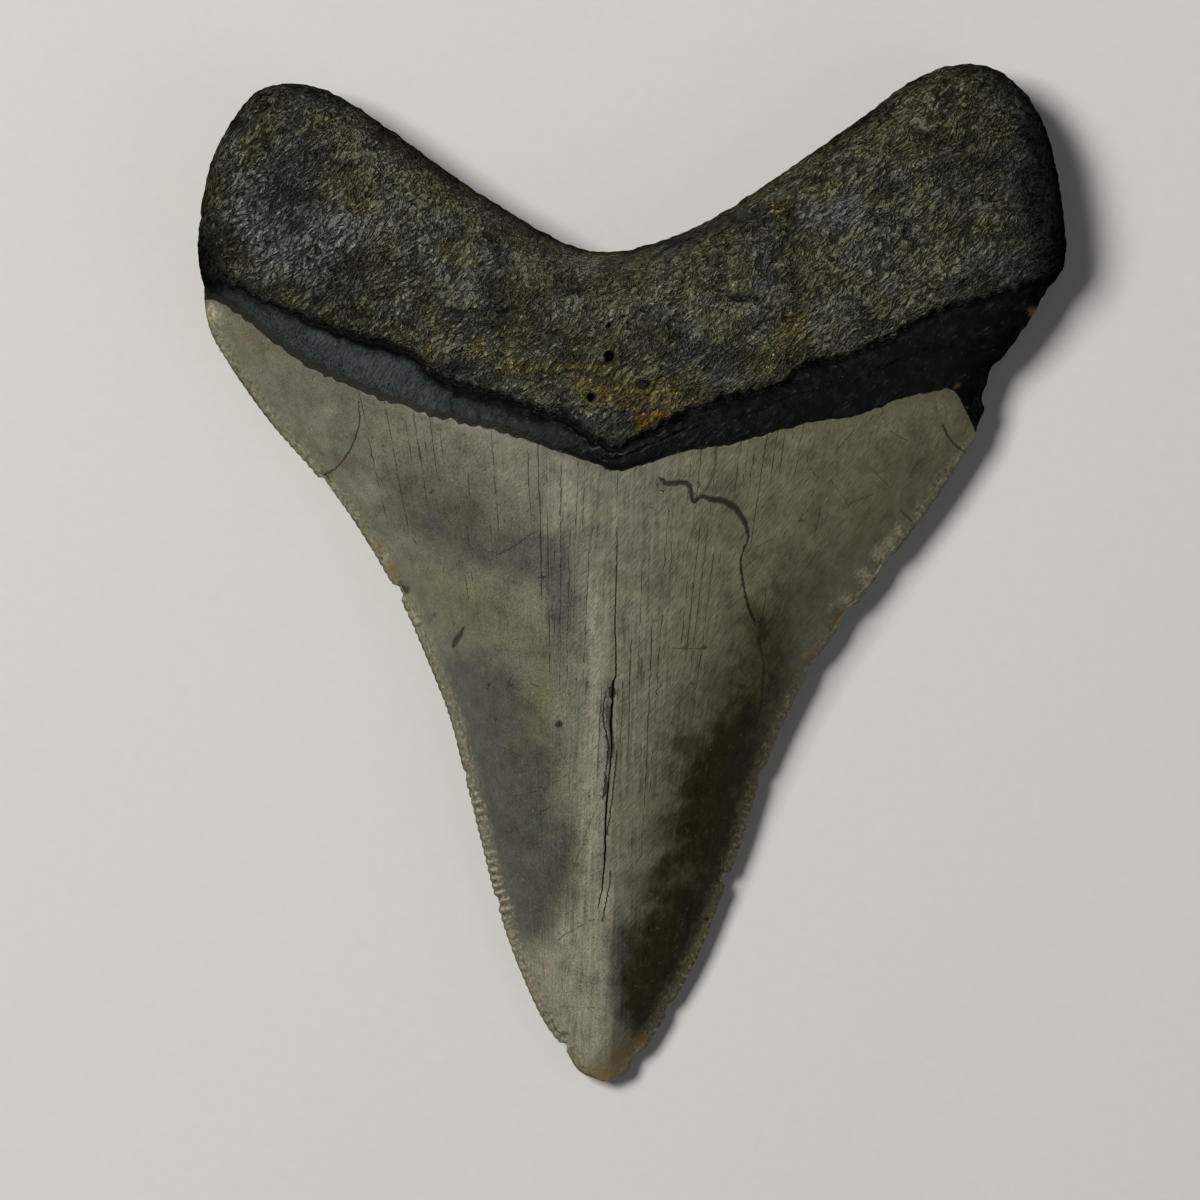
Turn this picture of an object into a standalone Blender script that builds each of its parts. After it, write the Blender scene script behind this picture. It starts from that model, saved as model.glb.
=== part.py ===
"""A fossil megalodon tooth: one solid, lying on its labial (lip) face with the lingual (tongue) face up.

The V-shaped root, the dark band under it (the bourlette) and the enamel blade grew as one piece.
Seen from above, +X is to the right, +Y runs from the tip to the root and +Z is up.
The origin is under the middle of the tooth, on the surface that it lies on.
"""

import math

import bmesh
import bpy
import numpy as np

# Driving dimensions. Lengths in this script are in millimetres until the mesh is made.
METRES = 0.001
ROOT_CREST = 21.0  # highest point of the root, over the middle
LOBE_CREST = 14.2  # height of the two root lobes
CREST_SPREAD = 17.0  # how far the middle bulge of the root reaches to each side
ROOT_RIM_HEIGHT = 6.8  # where the lingual and labial faces meet round the root
SHOULDER_RIM_HEIGHT = 4.6  # the same at the top of the cutting edges
TIP_RIM_HEIGHT = 2.2  # and at the tip
LINGUAL_ROUNDING = 12.0  # how far in from the outline the root reaches its full height
LABIAL_ROUNDING = 6.5  # the same on the labial face
MARGIN_FALL = 1.3  # how far the root falls towards the ledge
MARGIN_FALL_WIDTH = 8.0
LUMP_HEIGHT = 0.18  # of each of the low waves that make the root lumpy
BLADE_CREST_X = -2.2  # the lengthwise ridge of the blade
LEDGE_HEIGHT = 0.9  # step from the root down to the dark band
LEDGE_WIDTH = 0.9
CREVICE_DEPTH = 0.55  # dark groove at the foot of that step
CREVICE_WIDTH = 0.55
ENAMEL_THICKNESS = 0.35  # step from the dark band up to the enamel
ENAMEL_STEP_WIDTH = 0.5
LABIAL_ARCH = 1.3  # how far the middle of the labial face stands off the surface
REST_SINK = 0.9  # how deep the three resting spots would reach if they weren't worn flat

# Outline, clockwise from the left lobe, as smooth curves through these points.
ROOT_TOP = [
    (-40.0, 45.3), (-37.6, 48.1), (-33.9, 49.0), (-29.6, 47.9), (-24.0, 44.3), (-17.1, 39.3),
    (-9.6, 34.6), (-5.4, 32.6), (-2.0, 32.2), (2.0, 33.0), (7.6, 35.3), (13.9, 39.3),
    (22.5, 45.3), (28.0, 49.3), (32.6, 50.9), (36.6, 50.3), (39.6, 47.8),
]
ROOT_LEFT = [(-40.0, 45.3), (-41.8, 42.0), (-42.9, 38.0), (-43.45, 33.5), (-43.4, 31.0), (-43.0, 28.8)]
ROOT_RIGHT = [(39.6, 47.8), (41.4, 44.5), (42.7, 39.5), (43.45, 33.5), (43.4, 31.0), (42.9, 29.8)]
SHOULDER_LEFT = [(-43.0, 28.8), (-42.9, 28.1), (-42.8, 27.4)]
SHOULDER_RIGHT = [
    (42.9, 29.8), (41.4, 27.9), (40.2, 25.6), (38.6, 23.4), (37.4, 21.6), (36.3, 20.8),
    (35.7, 19.2), (35.2, 17.6), (35.4, 16.2), (34.7, 14.6), (34.4, 13.6),
]
BLADE_LEFT = [
    (-42.8, 27.4), (-42.2, 24.3), (-40.6, 21.3), (-36.4, 15.3), (-31.3, 9.4), (-27.4, 4.4),
    (-23.2, -2.7), (-20.5, -8.7), (-18.2, -14.7), (-16.7, -20.7), (-15.2, -26.7),
    (-13.7, -32.7), (-11.7, -38.7), (-9.0, -44.7), (-6.6, -48.0), (-5.2, -50.0), (-2.9, -51.0),
]
BLADE_RIGHT = [
    (34.4, 13.6), (30.7, 7.8), (27.4, 3.3), (22.8, -2.7), (18.5, -8.7), (15.4, -14.7),
    (12.9, -20.7), (11.1, -26.7), (8.9, -32.7), (6.5, -38.7), (3.2, -44.7), (1.5, -47.5),
    (0.2, -48.5), (-0.6, -50.2), (-2.9, -51.0),
]

# The whole left and right sides, from the lobes to the tip, which bound the blade's rows.
LEFT_SIDE = ROOT_LEFT + SHOULDER_LEFT[1:] + BLADE_LEFT[1:]
RIGHT_SIDE = ROOT_RIGHT + SHOULDER_RIGHT[1:] + BLADE_RIGHT[1:]

# The two margins that cross the lingual face, from left to right.
ROOT_MARGIN = [
    (-43.0, 28.8), (-40.0, 28.6), (-37.7, 27.5), (-33.0, 25.4), (-27.9, 23.4), (-22.3, 21.8),
    (-19.5, 19.5), (-13.8, 17.6), (-9.9, 16.2), (-6.0, 14.6), (-3.8, 13.1), (-1.5, 12.2),
    (1.0, 13.3), (5.6, 15.7), (10.7, 17.3), (15.0, 18.5), (17.3, 20.4), (21.3, 21.2),
    (26.3, 23.5), (30.1, 25.6), (35.4, 27.3), (39.0, 28.4), (42.9, 29.8),
]
ENAMEL_MARGIN = [
    (-42.8, 27.4), (-41.3, 27.0), (-38.6, 25.3), (-35.6, 22.9), (-31.8, 20.4), (-26.8, 17.9),
    (-23.0, 16.6), (-19.8, 15.6), (-14.7, 14.4), (-10.3, 13.0), (-7.1, 11.9), (-4.0, 10.9),
    (-1.6, 10.1), (0.9, 10.6), (5.6, 12.1), (9.7, 12.7), (13.8, 13.9), (18.4, 15.1),
    (21.9, 15.5), (26.3, 17.2), (28.6, 17.9), (31.6, 18.2), (33.2, 16.7), (34.2, 15.1),
    (34.4, 13.6),
]
# The upper limit of the enamel on the labial face, which has no dark band.
LABIAL_MARGIN_X = [-48.0, -40.0, -26.0, -12.0, 0.0, 12.0, 25.0, 36.0, 48.0]
LABIAL_MARGIN_Y = [30.0, 25.6, 20.8, 18.2, 17.4, 18.4, 20.4, 23.0, 28.0]

# Crest of the blade: height over the middle of the tooth at these distances along Y.
BLADE_CREST_Y = [-51.0, -49.0, -46.0, -42.0, -35.0, -25.0, -15.0, -5.0, 5.0, 12.0, 20.0]
BLADE_CREST_Z = [3.0, 4.3, 5.6, 7.0, 9.4, 12.2, 14.5, 16.3, 17.6, 18.3, 18.6]

# Low waves over the root: wavelengths along X and Y, and where each starts.
LUMPS = [(24.0, 33.0, 0.4), (17.0, -26.0, 1.7), (-13.0, 19.0, 2.9), (38.0, -12.0, 5.1)]

# Nutrient openings of the root on the lingual face: x, y, radius and depth.
FORAMINA = [(-2.2, 21.7, 0.65, 2.4), (-4.0, 17.6, 0.45, 1.6), (-2.3, 24.8, 0.3, 1.2)]

# Resting spots worn flat on the labial face: x, y and the radius over which each reaches down.
REST_SPOTS = [(-34.0, 39.0, 9.0), (33.5, 40.5, 9.0), (-3.5, -39.0, 7.0)]

# Rows of the mesh, as shares of each band from its upper to its lower margin.
ROOT_ROWS = [0.0, 0.012, 0.045, 0.1, 0.17, 0.26, 0.37, 0.5, 0.63, 0.76, 0.87, 0.935, 0.972, 1.0]
BAND_ROWS = [0.12, 0.3, 0.55, 0.8, 0.92, 1.0]
BLADE_ROWS = [0.01, 0.03] + [0.06 + 0.925 * step / 29 for step in range(30)]
COLUMNS = 44
CURVE_STEPS = 40  # straight steps between two points of a smooth curve


def smooth_curve(points):
    """A dense polyline through the points: a Catmull-Rom curve with its ends held."""
    p = np.array(points, float)
    p = np.vstack([2 * p[0] - p[1], p, 2 * p[-1] - p[-2]])
    t = np.linspace(0, 1, CURVE_STEPS, endpoint=False)[:, None]
    a, b, c, d = p[:-3, None], p[1:-2, None], p[2:-1, None], p[3:, None]
    curve = 0.5 * (2 * b + (c - a) * t + (2 * a - 5 * b + 4 * c - d) * t**2 + (3 * b - a - 3 * c + d) * t**3)
    return np.vstack([curve.reshape(-1, 2), p[-2]])


def along(curve, shares):
    """Points of a polyline at these shares of its length."""
    steps = np.hypot(*np.diff(curve, axis=0).T)
    length = np.concatenate([[0], np.cumsum(steps)]) / steps.sum()
    return np.stack([np.interp(shares, length, curve[:, k]) for k in (0, 1)], axis=-1)


def distance_to(points, curve):
    """Distance from each point to a polyline."""
    start, step = curve[:-1], np.diff(curve, axis=0)
    reach = points[:, None] - start
    share = np.clip((reach * step).sum(-1) / (step**2).sum(-1), 0, 1)
    return np.sqrt(((reach - share[..., None] * step) ** 2).sum(-1).min(1))


def smoothstep(low, high, value):
    t = np.clip((value - low) / (high - low), 0, 1)
    return t * t * (3 - 2 * t)


def across_margin(points, across):
    """Points of a V-shaped margin, with its lowest point at the middle column."""
    curve = smooth_curve(points)
    steps = np.hypot(*np.diff(curve, axis=0).T)
    apex = steps[: curve[:, 1].argmin()].sum() / steps.sum()
    return along(curve, np.interp(across, [0, 0.5, 1], [0, apex, 1]))


def coons_patch(top, bottom, left, right, across, down):
    """A plan grid between two margins and two sides, which meet at its corners."""
    s, t = across[None, :, None], down[:, None, None]
    sides = (1 - s) * along(left, down)[:, None] + s * along(right, down)[:, None]
    corners = (1 - s) * ((1 - t) * top[0] + t * bottom[0]) + s * ((1 - t) * top[-1] + t * bottom[-1])
    return (1 - t) * top + t * bottom + sides - corners


def blade_patch(margin, left, right, across, down):
    """A plan grid of rows that span the blade, bent like its upper margin at first and straight later."""
    s, t = across[None, :, None], down[:, None, None]
    bend = margin - ((1 - across[:, None]) * margin[0] + across[:, None] * margin[-1])
    return (1 - s) * along(left, down)[:, None] + s * along(right, down)[:, None] + (1 - t) ** 2 * bend


def plan_grid(across):
    """Plan position of every mesh point but the tip, and its band: up to 1 root, 2 dark band, 3 blade."""
    top, low, enamel = (across_margin(c, across) for c in (ROOT_TOP, ROOT_MARGIN, ENAMEL_MARGIN))
    left = [smooth_curve(c) for c in (ROOT_LEFT, SHOULDER_LEFT, BLADE_LEFT)]
    right = [smooth_curve(c) for c in (ROOT_RIGHT, SHOULDER_RIGHT, BLADE_RIGHT)]
    rows = [np.array(r) for r in (ROOT_ROWS, BAND_ROWS, BLADE_ROWS)]
    root = coons_patch(top, low, left[0], right[0], across, rows[0])
    dark_band = coons_patch(low, enamel, left[1], right[1], across, rows[1])
    blade = blade_patch(enamel, left[2], right[2], across, rows[2])
    band = np.concatenate([rows[k] + k for k in range(3)])
    return np.vstack([root, dark_band, blade]), np.repeat(band[:, None], len(across), axis=1)


def outline():
    """The closed outline of the tooth, seen from above."""
    down = [smooth_curve(c) for c in (ROOT_LEFT, SHOULDER_LEFT, BLADE_LEFT)]
    up = [smooth_curve(c)[::-1] for c in (BLADE_RIGHT, SHOULDER_RIGHT, ROOT_RIGHT, ROOT_TOP)]
    return np.vstack([down[0][:1]] + [curve[1:] for curve in down + up])


def beside_crest(x, y):
    """How far from the blade's ridge to the cutting edge a point lies, from 0 to 1."""
    left, right = smooth_curve(LEFT_SIDE), smooth_curve(RIGHT_SIDE)
    reach_left = BLADE_CREST_X - np.interp(y, left[::-1, 1], left[::-1, 0])
    reach_right = np.interp(y, right[::-1, 1], right[::-1, 0]) - BLADE_CREST_X
    away = x - BLADE_CREST_X
    return np.clip(np.where(away < 0, -away / reach_left, away / reach_right), 0, 1)


def root_lumps(x, y):
    """The sum of low waves that makes the root lumpy."""
    waves = [np.sin(2 * math.pi * (x / across + y / along_y) + start) for across, along_y, start in LUMPS]
    return LUMP_HEIGHT * sum(waves)


def rim_height(y):
    """Height at which the two faces meet: it falls from the root to the tip."""
    blade = TIP_RIM_HEIGHT + (SHOULDER_RIM_HEIGHT - TIP_RIM_HEIGHT) * smoothstep(-52, 22, y)
    return blade + (ROOT_RIM_HEIGHT - blade) * smoothstep(16, 36, y)


def lingual_height(x, y, band, edge, margin):
    """Height of the upper face. The root rises from its rim as a quarter ellipse, the blade as a lens."""
    rim = rim_height(y)
    side = np.where(band <= 1, margin, -margin)  # above zero on the root
    root_crest = LOBE_CREST + (ROOT_CREST - LOBE_CREST) * np.exp(-((x / CREST_SPREAD) ** 2)) - LEDGE_HEIGHT
    root_crest -= MARGIN_FALL * (1 - smoothstep(0, MARGIN_FALL_WIDTH, side))
    root_crest += root_lumps(x, y) * smoothstep(0, 4, side)
    near_rim = 1 - np.clip(edge / LINGUAL_ROUNDING, 0, 1)
    round_rise = np.sqrt(1 - near_rim**2)
    blade_crest = np.interp(y, BLADE_CREST_Y, BLADE_CREST_Z)
    sharpness = 1.45 + 0.85 * smoothstep(-45, -5, y)  # the tip has a ridge, the base is broad
    lens_rise = 1 - beside_crest(x, y) ** sharpness
    blade = smoothstep(0.6, 2.2, band)
    height = (1 - blade) * (root_crest - rim) * round_rise + blade * (blade_crest - rim) * lens_rise
    ledge = LEDGE_HEIGHT * smoothstep(-0.35 * LEDGE_WIDTH, LEDGE_WIDTH, side)
    crevice = CREVICE_DEPTH * np.exp(-((side / CREVICE_WIDTH) ** 2))
    return rim + height + (ledge - crevice) * smoothstep(0, 3, edge)


def enamel_step(edge, margin, band):
    """The enamel stands proud of the dark band by its thickness, fading out at the cutting edge."""
    side = np.where(band >= 2, margin, -margin)
    return ENAMEL_THICKNESS * smoothstep(0, ENAMEL_STEP_WIDTH, side) * smoothstep(0, 2, edge)


def labial_height(x, y, band, edge):
    """Height of the lower face: an arch with three worn spots that the tooth lies on."""
    rim = rim_height(y)
    near_rim = 1 - np.clip(edge / LABIAL_ROUNDING, 0, 1)
    round_drop = np.sqrt(1 - near_rim**2)
    lens_drop = 1 - beside_crest(x, y) ** 2.4
    blade = smoothstep(0.6, 2.2, band)
    drop = (1 - blade) * round_drop + blade * lens_drop
    floor = np.full_like(x, LABIAL_ARCH)
    for spot_x, spot_y, radius in REST_SPOTS:
        reach = ((x - spot_x) ** 2 + (y - spot_y) ** 2) / radius**2
        floor -= (LABIAL_ARCH + REST_SINK) * np.exp(-reach)
    margin_y = np.interp(x, LABIAL_MARGIN_X, LABIAL_MARGIN_Y)
    floor += ENAMEL_THICKNESS * smoothstep(-0.4, 0.4, y - margin_y)
    return np.maximum(rim - (rim - floor) * drop, 0)


def tooth_mesh():
    """The closed surface: an upper and a lower grid over one plan, joined all round the outline."""
    even = np.linspace(0, 1, COLUMNS + 1)
    across = 0.35 * even + 0.65 * (1 - np.cos(math.pi * even)) / 2  # closer together at the rims
    plan, band = plan_grid(across)
    rows, columns = band.shape
    flat = plan.reshape(-1, 2)
    edge = distance_to(flat, outline()).reshape(band.shape)
    root_margin = distance_to(flat, smooth_curve(ROOT_MARGIN)).reshape(band.shape)
    enamel_margin = distance_to(flat, smooth_curve(ENAMEL_MARGIN)).reshape(band.shape)
    x, y = plan[..., 0], plan[..., 1]
    upper = lingual_height(x, y, band, edge, root_margin)
    upper += enamel_step(edge, enamel_margin, band)
    lower = labial_height(x, y, band, edge)

    rim = np.zeros(band.shape, bool)
    rim[0] = rim[:, [0, -1]] = True
    upper[rim] = rim_height(y[rim])
    upper_index = np.arange(rows * columns).reshape(rows, columns)
    lower_index = upper_index.copy()
    lower_index[~rim] = rows * columns + np.arange((~rim).sum())
    tip = np.array([[*BLADE_LEFT[-1], TIP_RIM_HEIGHT]])
    points = np.vstack([np.dstack([plan, upper]).reshape(-1, 3), np.dstack([plan, lower])[~rim], tip])
    middle = (points[:, :2].max(axis=0) + points[:, :2].min(axis=0)) / 2
    points[:, :2] -= middle
    faces = grid_faces(upper_index, len(points) - 1) + [
        face[::-1] for face in grid_faces(lower_index, len(points) - 1)
    ]
    finish = np.append(np.clip(band[:-1, :-1], 0, 2.5).astype(int).ravel(), [2] * (columns - 1))
    return points * METRES, faces, np.tile(finish, 2), middle


def grid_faces(index, tip):
    """Quads over a grid of point numbers, and a fan from its last row to the tip."""
    quads = np.stack([index[1:, :-1], index[1:, 1:], index[:-1, 1:], index[:-1, :-1]], axis=-1)
    fan = np.stack([np.full(index.shape[1] - 1, tip), index[-1, 1:], index[-1, :-1]], axis=-1)
    return quads.reshape(-1, 4).tolist() + fan.tolist()


def material(name, colour, roughness):
    made = bpy.data.materials.new(name)
    made.use_nodes = True
    shader = made.node_tree.nodes["Principled BSDF"]
    shader.inputs["Base Color"].default_value = (*colour, 1)
    shader.inputs["Roughness"].default_value = roughness
    shader.inputs["Metallic"].default_value = 0
    return made


def make_tooth(collection):
    points, faces, finish, middle = tooth_mesh()
    mesh = bpy.data.meshes.new("tooth")
    mesh.from_pydata(points.tolist(), [], faces)
    mesh.materials.append(material("root_fossil", (0.06, 0.055, 0.045), 0.6))
    mesh.materials.append(material("bourlette_fossil", (0.025, 0.03, 0.035), 0.4))
    mesh.materials.append(material("enamel_fossil", (0.17, 0.165, 0.13), 0.35))
    mesh.polygons.foreach_set("material_index", finish)
    mesh.validate()
    mesh.shade_smooth()
    tooth = bpy.data.objects.new("tooth", mesh)
    collection.objects.link(tooth)
    return tooth, middle


def drill_foramina(tooth, collection, middle):
    """Cuts the small nutrient openings as slightly tapered pits that go down into the root."""
    for number, (x, y, radius, depth) in enumerate(FORAMINA, 1):
        at = tooth.ray_cast(((x - middle[0]) * METRES, (y - middle[1]) * METRES, 1), (0, 0, -1))[1]
        mesh = bpy.data.meshes.new(f"foramen_{number}")
        cone = bmesh.new()
        bmesh.ops.create_cone(
            cone, cap_ends=True, segments=14, depth=2 * depth * METRES,
            radius1=0.5 * radius * METRES, radius2=1.5 * radius * METRES,
        )
        cone.to_mesh(mesh)
        cone.free()
        cutter = bpy.data.objects.new(f"foramen_{number}", mesh)
        cutter.location = at
        cutter.hide_render = True
        cutter.display_type = "WIRE"
        collection.objects.link(cutter)
        cut = tooth.modifiers.new(cutter.name, "BOOLEAN")
        cut.operation = "DIFFERENCE"
        cut.solver = "EXACT"
        cut.object = cutter


def new_collection(name):
    made = bpy.data.collections.new(name)
    bpy.context.scene.collection.children.link(made)
    return made


def main():
    for old in list(bpy.data.objects):
        bpy.data.objects.remove(old)
    tooth, middle = make_tooth(new_collection("megalodon_tooth"))
    bpy.context.view_layer.update()
    drill_foramina(tooth, new_collection("cutters"), middle)


main()
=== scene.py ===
"""Builds the looks of a fossil megalodon tooth that lies on its labial (lip) face, lingual (tongue) face up.

The tooth is one piece: two faces over one plan, joined round the outline, with the root's wrinkles and pits,
the dark band under it (the bourlette), the serrated cutting edges, chips and cracks as real relief.
Lengths are in millimetres until the mesh is made. +X is to the right, +Y runs from the tip to the root.
"""

import math

import bpy
import numpy as np
from bpy.props import FloatProperty, FloatVectorProperty, IntProperty, PointerProperty
from bpy.types import Operator, Panel, PropertyGroup
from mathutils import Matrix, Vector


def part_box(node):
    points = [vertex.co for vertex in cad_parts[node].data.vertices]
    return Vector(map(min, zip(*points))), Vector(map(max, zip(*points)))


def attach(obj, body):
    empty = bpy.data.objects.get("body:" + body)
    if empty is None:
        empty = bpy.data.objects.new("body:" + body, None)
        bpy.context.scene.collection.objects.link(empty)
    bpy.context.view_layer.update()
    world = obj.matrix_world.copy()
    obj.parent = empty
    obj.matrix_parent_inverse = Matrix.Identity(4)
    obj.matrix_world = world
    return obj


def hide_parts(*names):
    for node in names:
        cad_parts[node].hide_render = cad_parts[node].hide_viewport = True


bl_info = {
    "name": "Megalodon Tooth",
    "version": (1, 0, 0),
    "blender": (4, 5, 0),
    "location": "3D View > Sidebar > Tooth",
    "description": "Builds a fossil tooth with a wrinkled root, a dark band and a serrated enamel blade",
    "category": "Object",
}

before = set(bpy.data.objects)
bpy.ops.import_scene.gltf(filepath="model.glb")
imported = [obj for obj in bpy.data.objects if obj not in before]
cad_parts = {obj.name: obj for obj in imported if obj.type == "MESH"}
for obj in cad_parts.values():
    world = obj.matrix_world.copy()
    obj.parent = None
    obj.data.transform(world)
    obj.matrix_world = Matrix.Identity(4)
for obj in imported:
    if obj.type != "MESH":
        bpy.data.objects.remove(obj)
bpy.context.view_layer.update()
TOOTH_NODE = "tooth"
MM = 0.001

# Driving dimensions of the form.
ROOT_CREST = 21.0  # highest point of the root, over the middle
LOBE_CREST = 14.2  # height of the two root lobes
CREST_SPREAD = 17.0  # how far the middle bulge of the root reaches to each side
ROOT_RIM_HEIGHT = 6.8  # where the lingual and labial faces meet round the root
SHOULDER_RIM_HEIGHT = 4.6  # the same at the top of the cutting edges
TIP_RIM_HEIGHT = 2.2  # and at the tip
LINGUAL_ROUNDING = 12.0  # how far in from the outline the root reaches its full height
LABIAL_ROUNDING = 6.5  # the same on the labial face
MARGIN_FALL = 1.3  # how far the root falls towards the ledge
MARGIN_FALL_WIDTH = 8.0
LUMP_HEIGHT = 0.18  # of each of the low waves that make the root lumpy
BLADE_CREST_X = -2.2  # the lengthwise ridge of the blade
LEDGE_HEIGHT = 0.9  # step from the root down to the dark band
LEDGE_WIDTH = 0.9
CREVICE_DEPTH = 0.55  # dark groove at the foot of that step
CREVICE_WIDTH = 0.55
ENAMEL_STEP_WIDTH = 0.3
BEVEL_WIDTH = 1.5  # the flatter strip along the cutting edges
LABIAL_ARCH = 1.3  # how far the middle of the labial face stands off the surface
REST_SINK = 0.9  # how deep the three resting spots would reach if they weren't worn flat

# Outline, from the left lobe down to the tip and up to the right lobe, as smooth curves through these points.
ROOT_TOP = [
    (-40.0, 45.3), (-37.6, 48.1), (-33.9, 49.0), (-29.6, 47.9), (-24.0, 44.3), (-17.1, 39.3),
    (-9.6, 34.6), (-5.4, 32.6), (-2.0, 32.2), (2.0, 33.0), (7.6, 35.3), (13.9, 39.3),
    (22.5, 45.3), (28.0, 49.3), (32.6, 50.9), (36.6, 50.3), (39.6, 47.8),
]
ROOT_LEFT = [(-40.0, 45.3), (-41.8, 42.0), (-42.9, 38.0), (-43.45, 33.5), (-43.4, 31.0), (-43.0, 28.8)]
ROOT_RIGHT = [(39.6, 47.8), (41.4, 44.5), (42.7, 39.5), (43.45, 33.5), (43.4, 31.0), (42.9, 29.8)]
SHOULDER_LEFT = [(-43.0, 28.8), (-42.9, 28.1), (-42.8, 27.4)]
SHOULDER_RIGHT = [
    (42.9, 29.8), (41.4, 27.9), (40.2, 25.6), (38.6, 23.4), (37.4, 21.6), (36.3, 20.8),
    (35.7, 19.2), (35.2, 17.6), (35.4, 16.2), (34.7, 14.6), (34.4, 13.6),
]
BLADE_LEFT = [
    (-42.8, 27.4), (-42.2, 24.3), (-40.6, 21.3), (-36.4, 15.3), (-31.3, 9.4), (-27.4, 4.4),
    (-23.2, -2.7), (-20.5, -8.7), (-18.2, -14.7), (-16.7, -20.7), (-15.2, -26.7),
    (-13.7, -32.7), (-11.7, -38.7), (-9.0, -44.7), (-6.6, -48.0), (-5.2, -50.0), (-2.9, -51.0),
]
BLADE_RIGHT = [
    (34.4, 13.6), (30.7, 7.8), (27.4, 3.3), (22.8, -2.7), (18.5, -8.7), (15.4, -14.7),
    (12.9, -20.7), (11.1, -26.7), (8.9, -32.7), (6.5, -38.7), (3.2, -44.7), (1.5, -47.5),
    (0.2, -48.5), (-0.6, -50.2), (-2.9, -51.0),
]
LEFT_SIDE = ROOT_LEFT + SHOULDER_LEFT[1:] + BLADE_LEFT[1:]
RIGHT_SIDE = ROOT_RIGHT + SHOULDER_RIGHT[1:] + BLADE_RIGHT[1:]

# The two margins that cross the lingual face, from left to right.
ROOT_MARGIN = [
    (-43.0, 28.8), (-40.0, 28.6), (-37.7, 27.5), (-33.0, 25.4), (-27.9, 23.4), (-22.3, 21.8),
    (-19.5, 19.5), (-13.8, 17.6), (-9.9, 16.2), (-6.0, 14.6), (-3.8, 13.1), (-1.5, 12.2),
    (1.0, 13.3), (5.6, 15.7), (10.7, 17.3), (15.0, 18.5), (17.3, 20.4), (21.3, 21.2),
    (26.3, 23.5), (30.1, 25.6), (35.4, 27.3), (39.0, 28.4), (42.9, 29.8),
]
ENAMEL_MARGIN = [
    (-42.8, 27.4), (-41.3, 27.0), (-38.6, 25.3), (-35.6, 22.9), (-31.8, 20.4), (-26.8, 17.9),
    (-23.0, 16.6), (-19.8, 15.6), (-14.7, 14.4), (-10.3, 13.0), (-7.1, 11.9), (-4.0, 10.9),
    (-1.6, 10.1), (0.9, 10.6), (5.6, 12.1), (9.7, 12.7), (13.8, 13.9), (18.4, 15.1),
    (21.9, 15.5), (26.3, 17.2), (28.6, 17.8), (31.0, 18.3), (32.0, 18.3), (32.6, 17.6), (33.4, 16.1),
    (34.2, 14.6), (34.4, 13.6),
]
# The upper limit of the enamel on the labial face, which has no dark band.
LABIAL_MARGIN_X = [-48.0, -40.0, -26.0, -12.0, 0.0, 12.0, 25.0, 36.0, 48.0]
LABIAL_MARGIN_Y = [30.0, 25.6, 20.8, 18.2, 17.4, 18.4, 20.4, 23.0, 28.0]

# Crest of the blade: height over the middle of the tooth at these distances along Y.
BLADE_CREST_Y = [-51.0, -49.0, -46.0, -42.0, -35.0, -25.0, -15.0, -5.0, 5.0, 12.0, 20.0]
BLADE_CREST_Z = [3.0, 4.3, 5.6, 7.0, 9.4, 12.2, 14.5, 16.3, 17.6, 18.3, 18.6]

# Low waves over the root: wavelengths along X and Y, and where each starts.
LUMPS = [(24.0, 33.0, 0.4), (17.0, -26.0, 1.7), (-13.0, 19.0, 2.9), (38.0, -12.0, 5.1)]

# Nutrient openings of the root on the lingual face: x, y, radius and depth.
FORAMINA = [(-2.2, 21.3, 0.62, 2.4), (-4.0, 17.2, 0.5, 1.6), (-2.3, 24.4, 0.3, 1.2)]

# Resting spots worn flat on the labial face: x, y and the radius over which each reaches down.
REST_SPOTS = [(-34.0, 39.0, 9.0), (33.5, 40.5, 9.0), (-3.5, -39.0, 7.0)]

# How wide and deep the crevice is along X, as a share of its usual size.
CREVICE_X = [-43.0, -36.0, -29.5, -25.0, -21.0, -16.0, -6.0, -1.0, 3.0, 7.0, 14.0, 24.0, 34.0, 43.0]
CREVICE_SHARE = [0.3, 0.4, 1.0, 1.5, 0.8, 0.5, 0.6, 0.5, 1.3, 0.8, 0.6, 0.8, 0.7, 0.5]

# Chips out of the outline: x, y, half width along the edge and depth.
EDGE_CHIPS = [
    (-23.4, -1.9, 0.8, 0.5), (9.4, -30.6, 0.6, 0.6), (21.4, -4.4, 1.5, 0.35), (25.5, 0.9, 1.2, 0.3),
    (-13.6, -33.0, 0.5, 0.25), (-7.0, -47.6, 0.45, 0.4), (13.1, -20.4, 0.6, 0.3), (3.4, -43.4, 0.7, 0.3),
    (-17.0, -20.2, 0.5, 0.2), (18.2, -9.4, 1.0, 0.3),
]
# Hollows flaked out of the face beside them: x, y, radius and depth.
FLAKES = [
    (-22.8, -1.7, 0.95, 0.4), (20.4, -4.6, 1.3, 0.4), (21.6, -2.4, 1.0, 0.3), (24.4, 0.9, 1.1, 0.35),
    (25.6, 2.8, 0.9, 0.25), (22.8, -0.6, 1.0, 0.3), (9.0, -30.5, 0.7, 0.35), (-30.6, 9.3, 0.8, 0.35),
    (-12.2, -37.6, 0.7, 0.15), (17.4, -9.0, 0.9, 0.25), (-6.6, -46.4, 0.5, 0.2), (0.0, -47.8, 0.7, 0.25),
]

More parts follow.
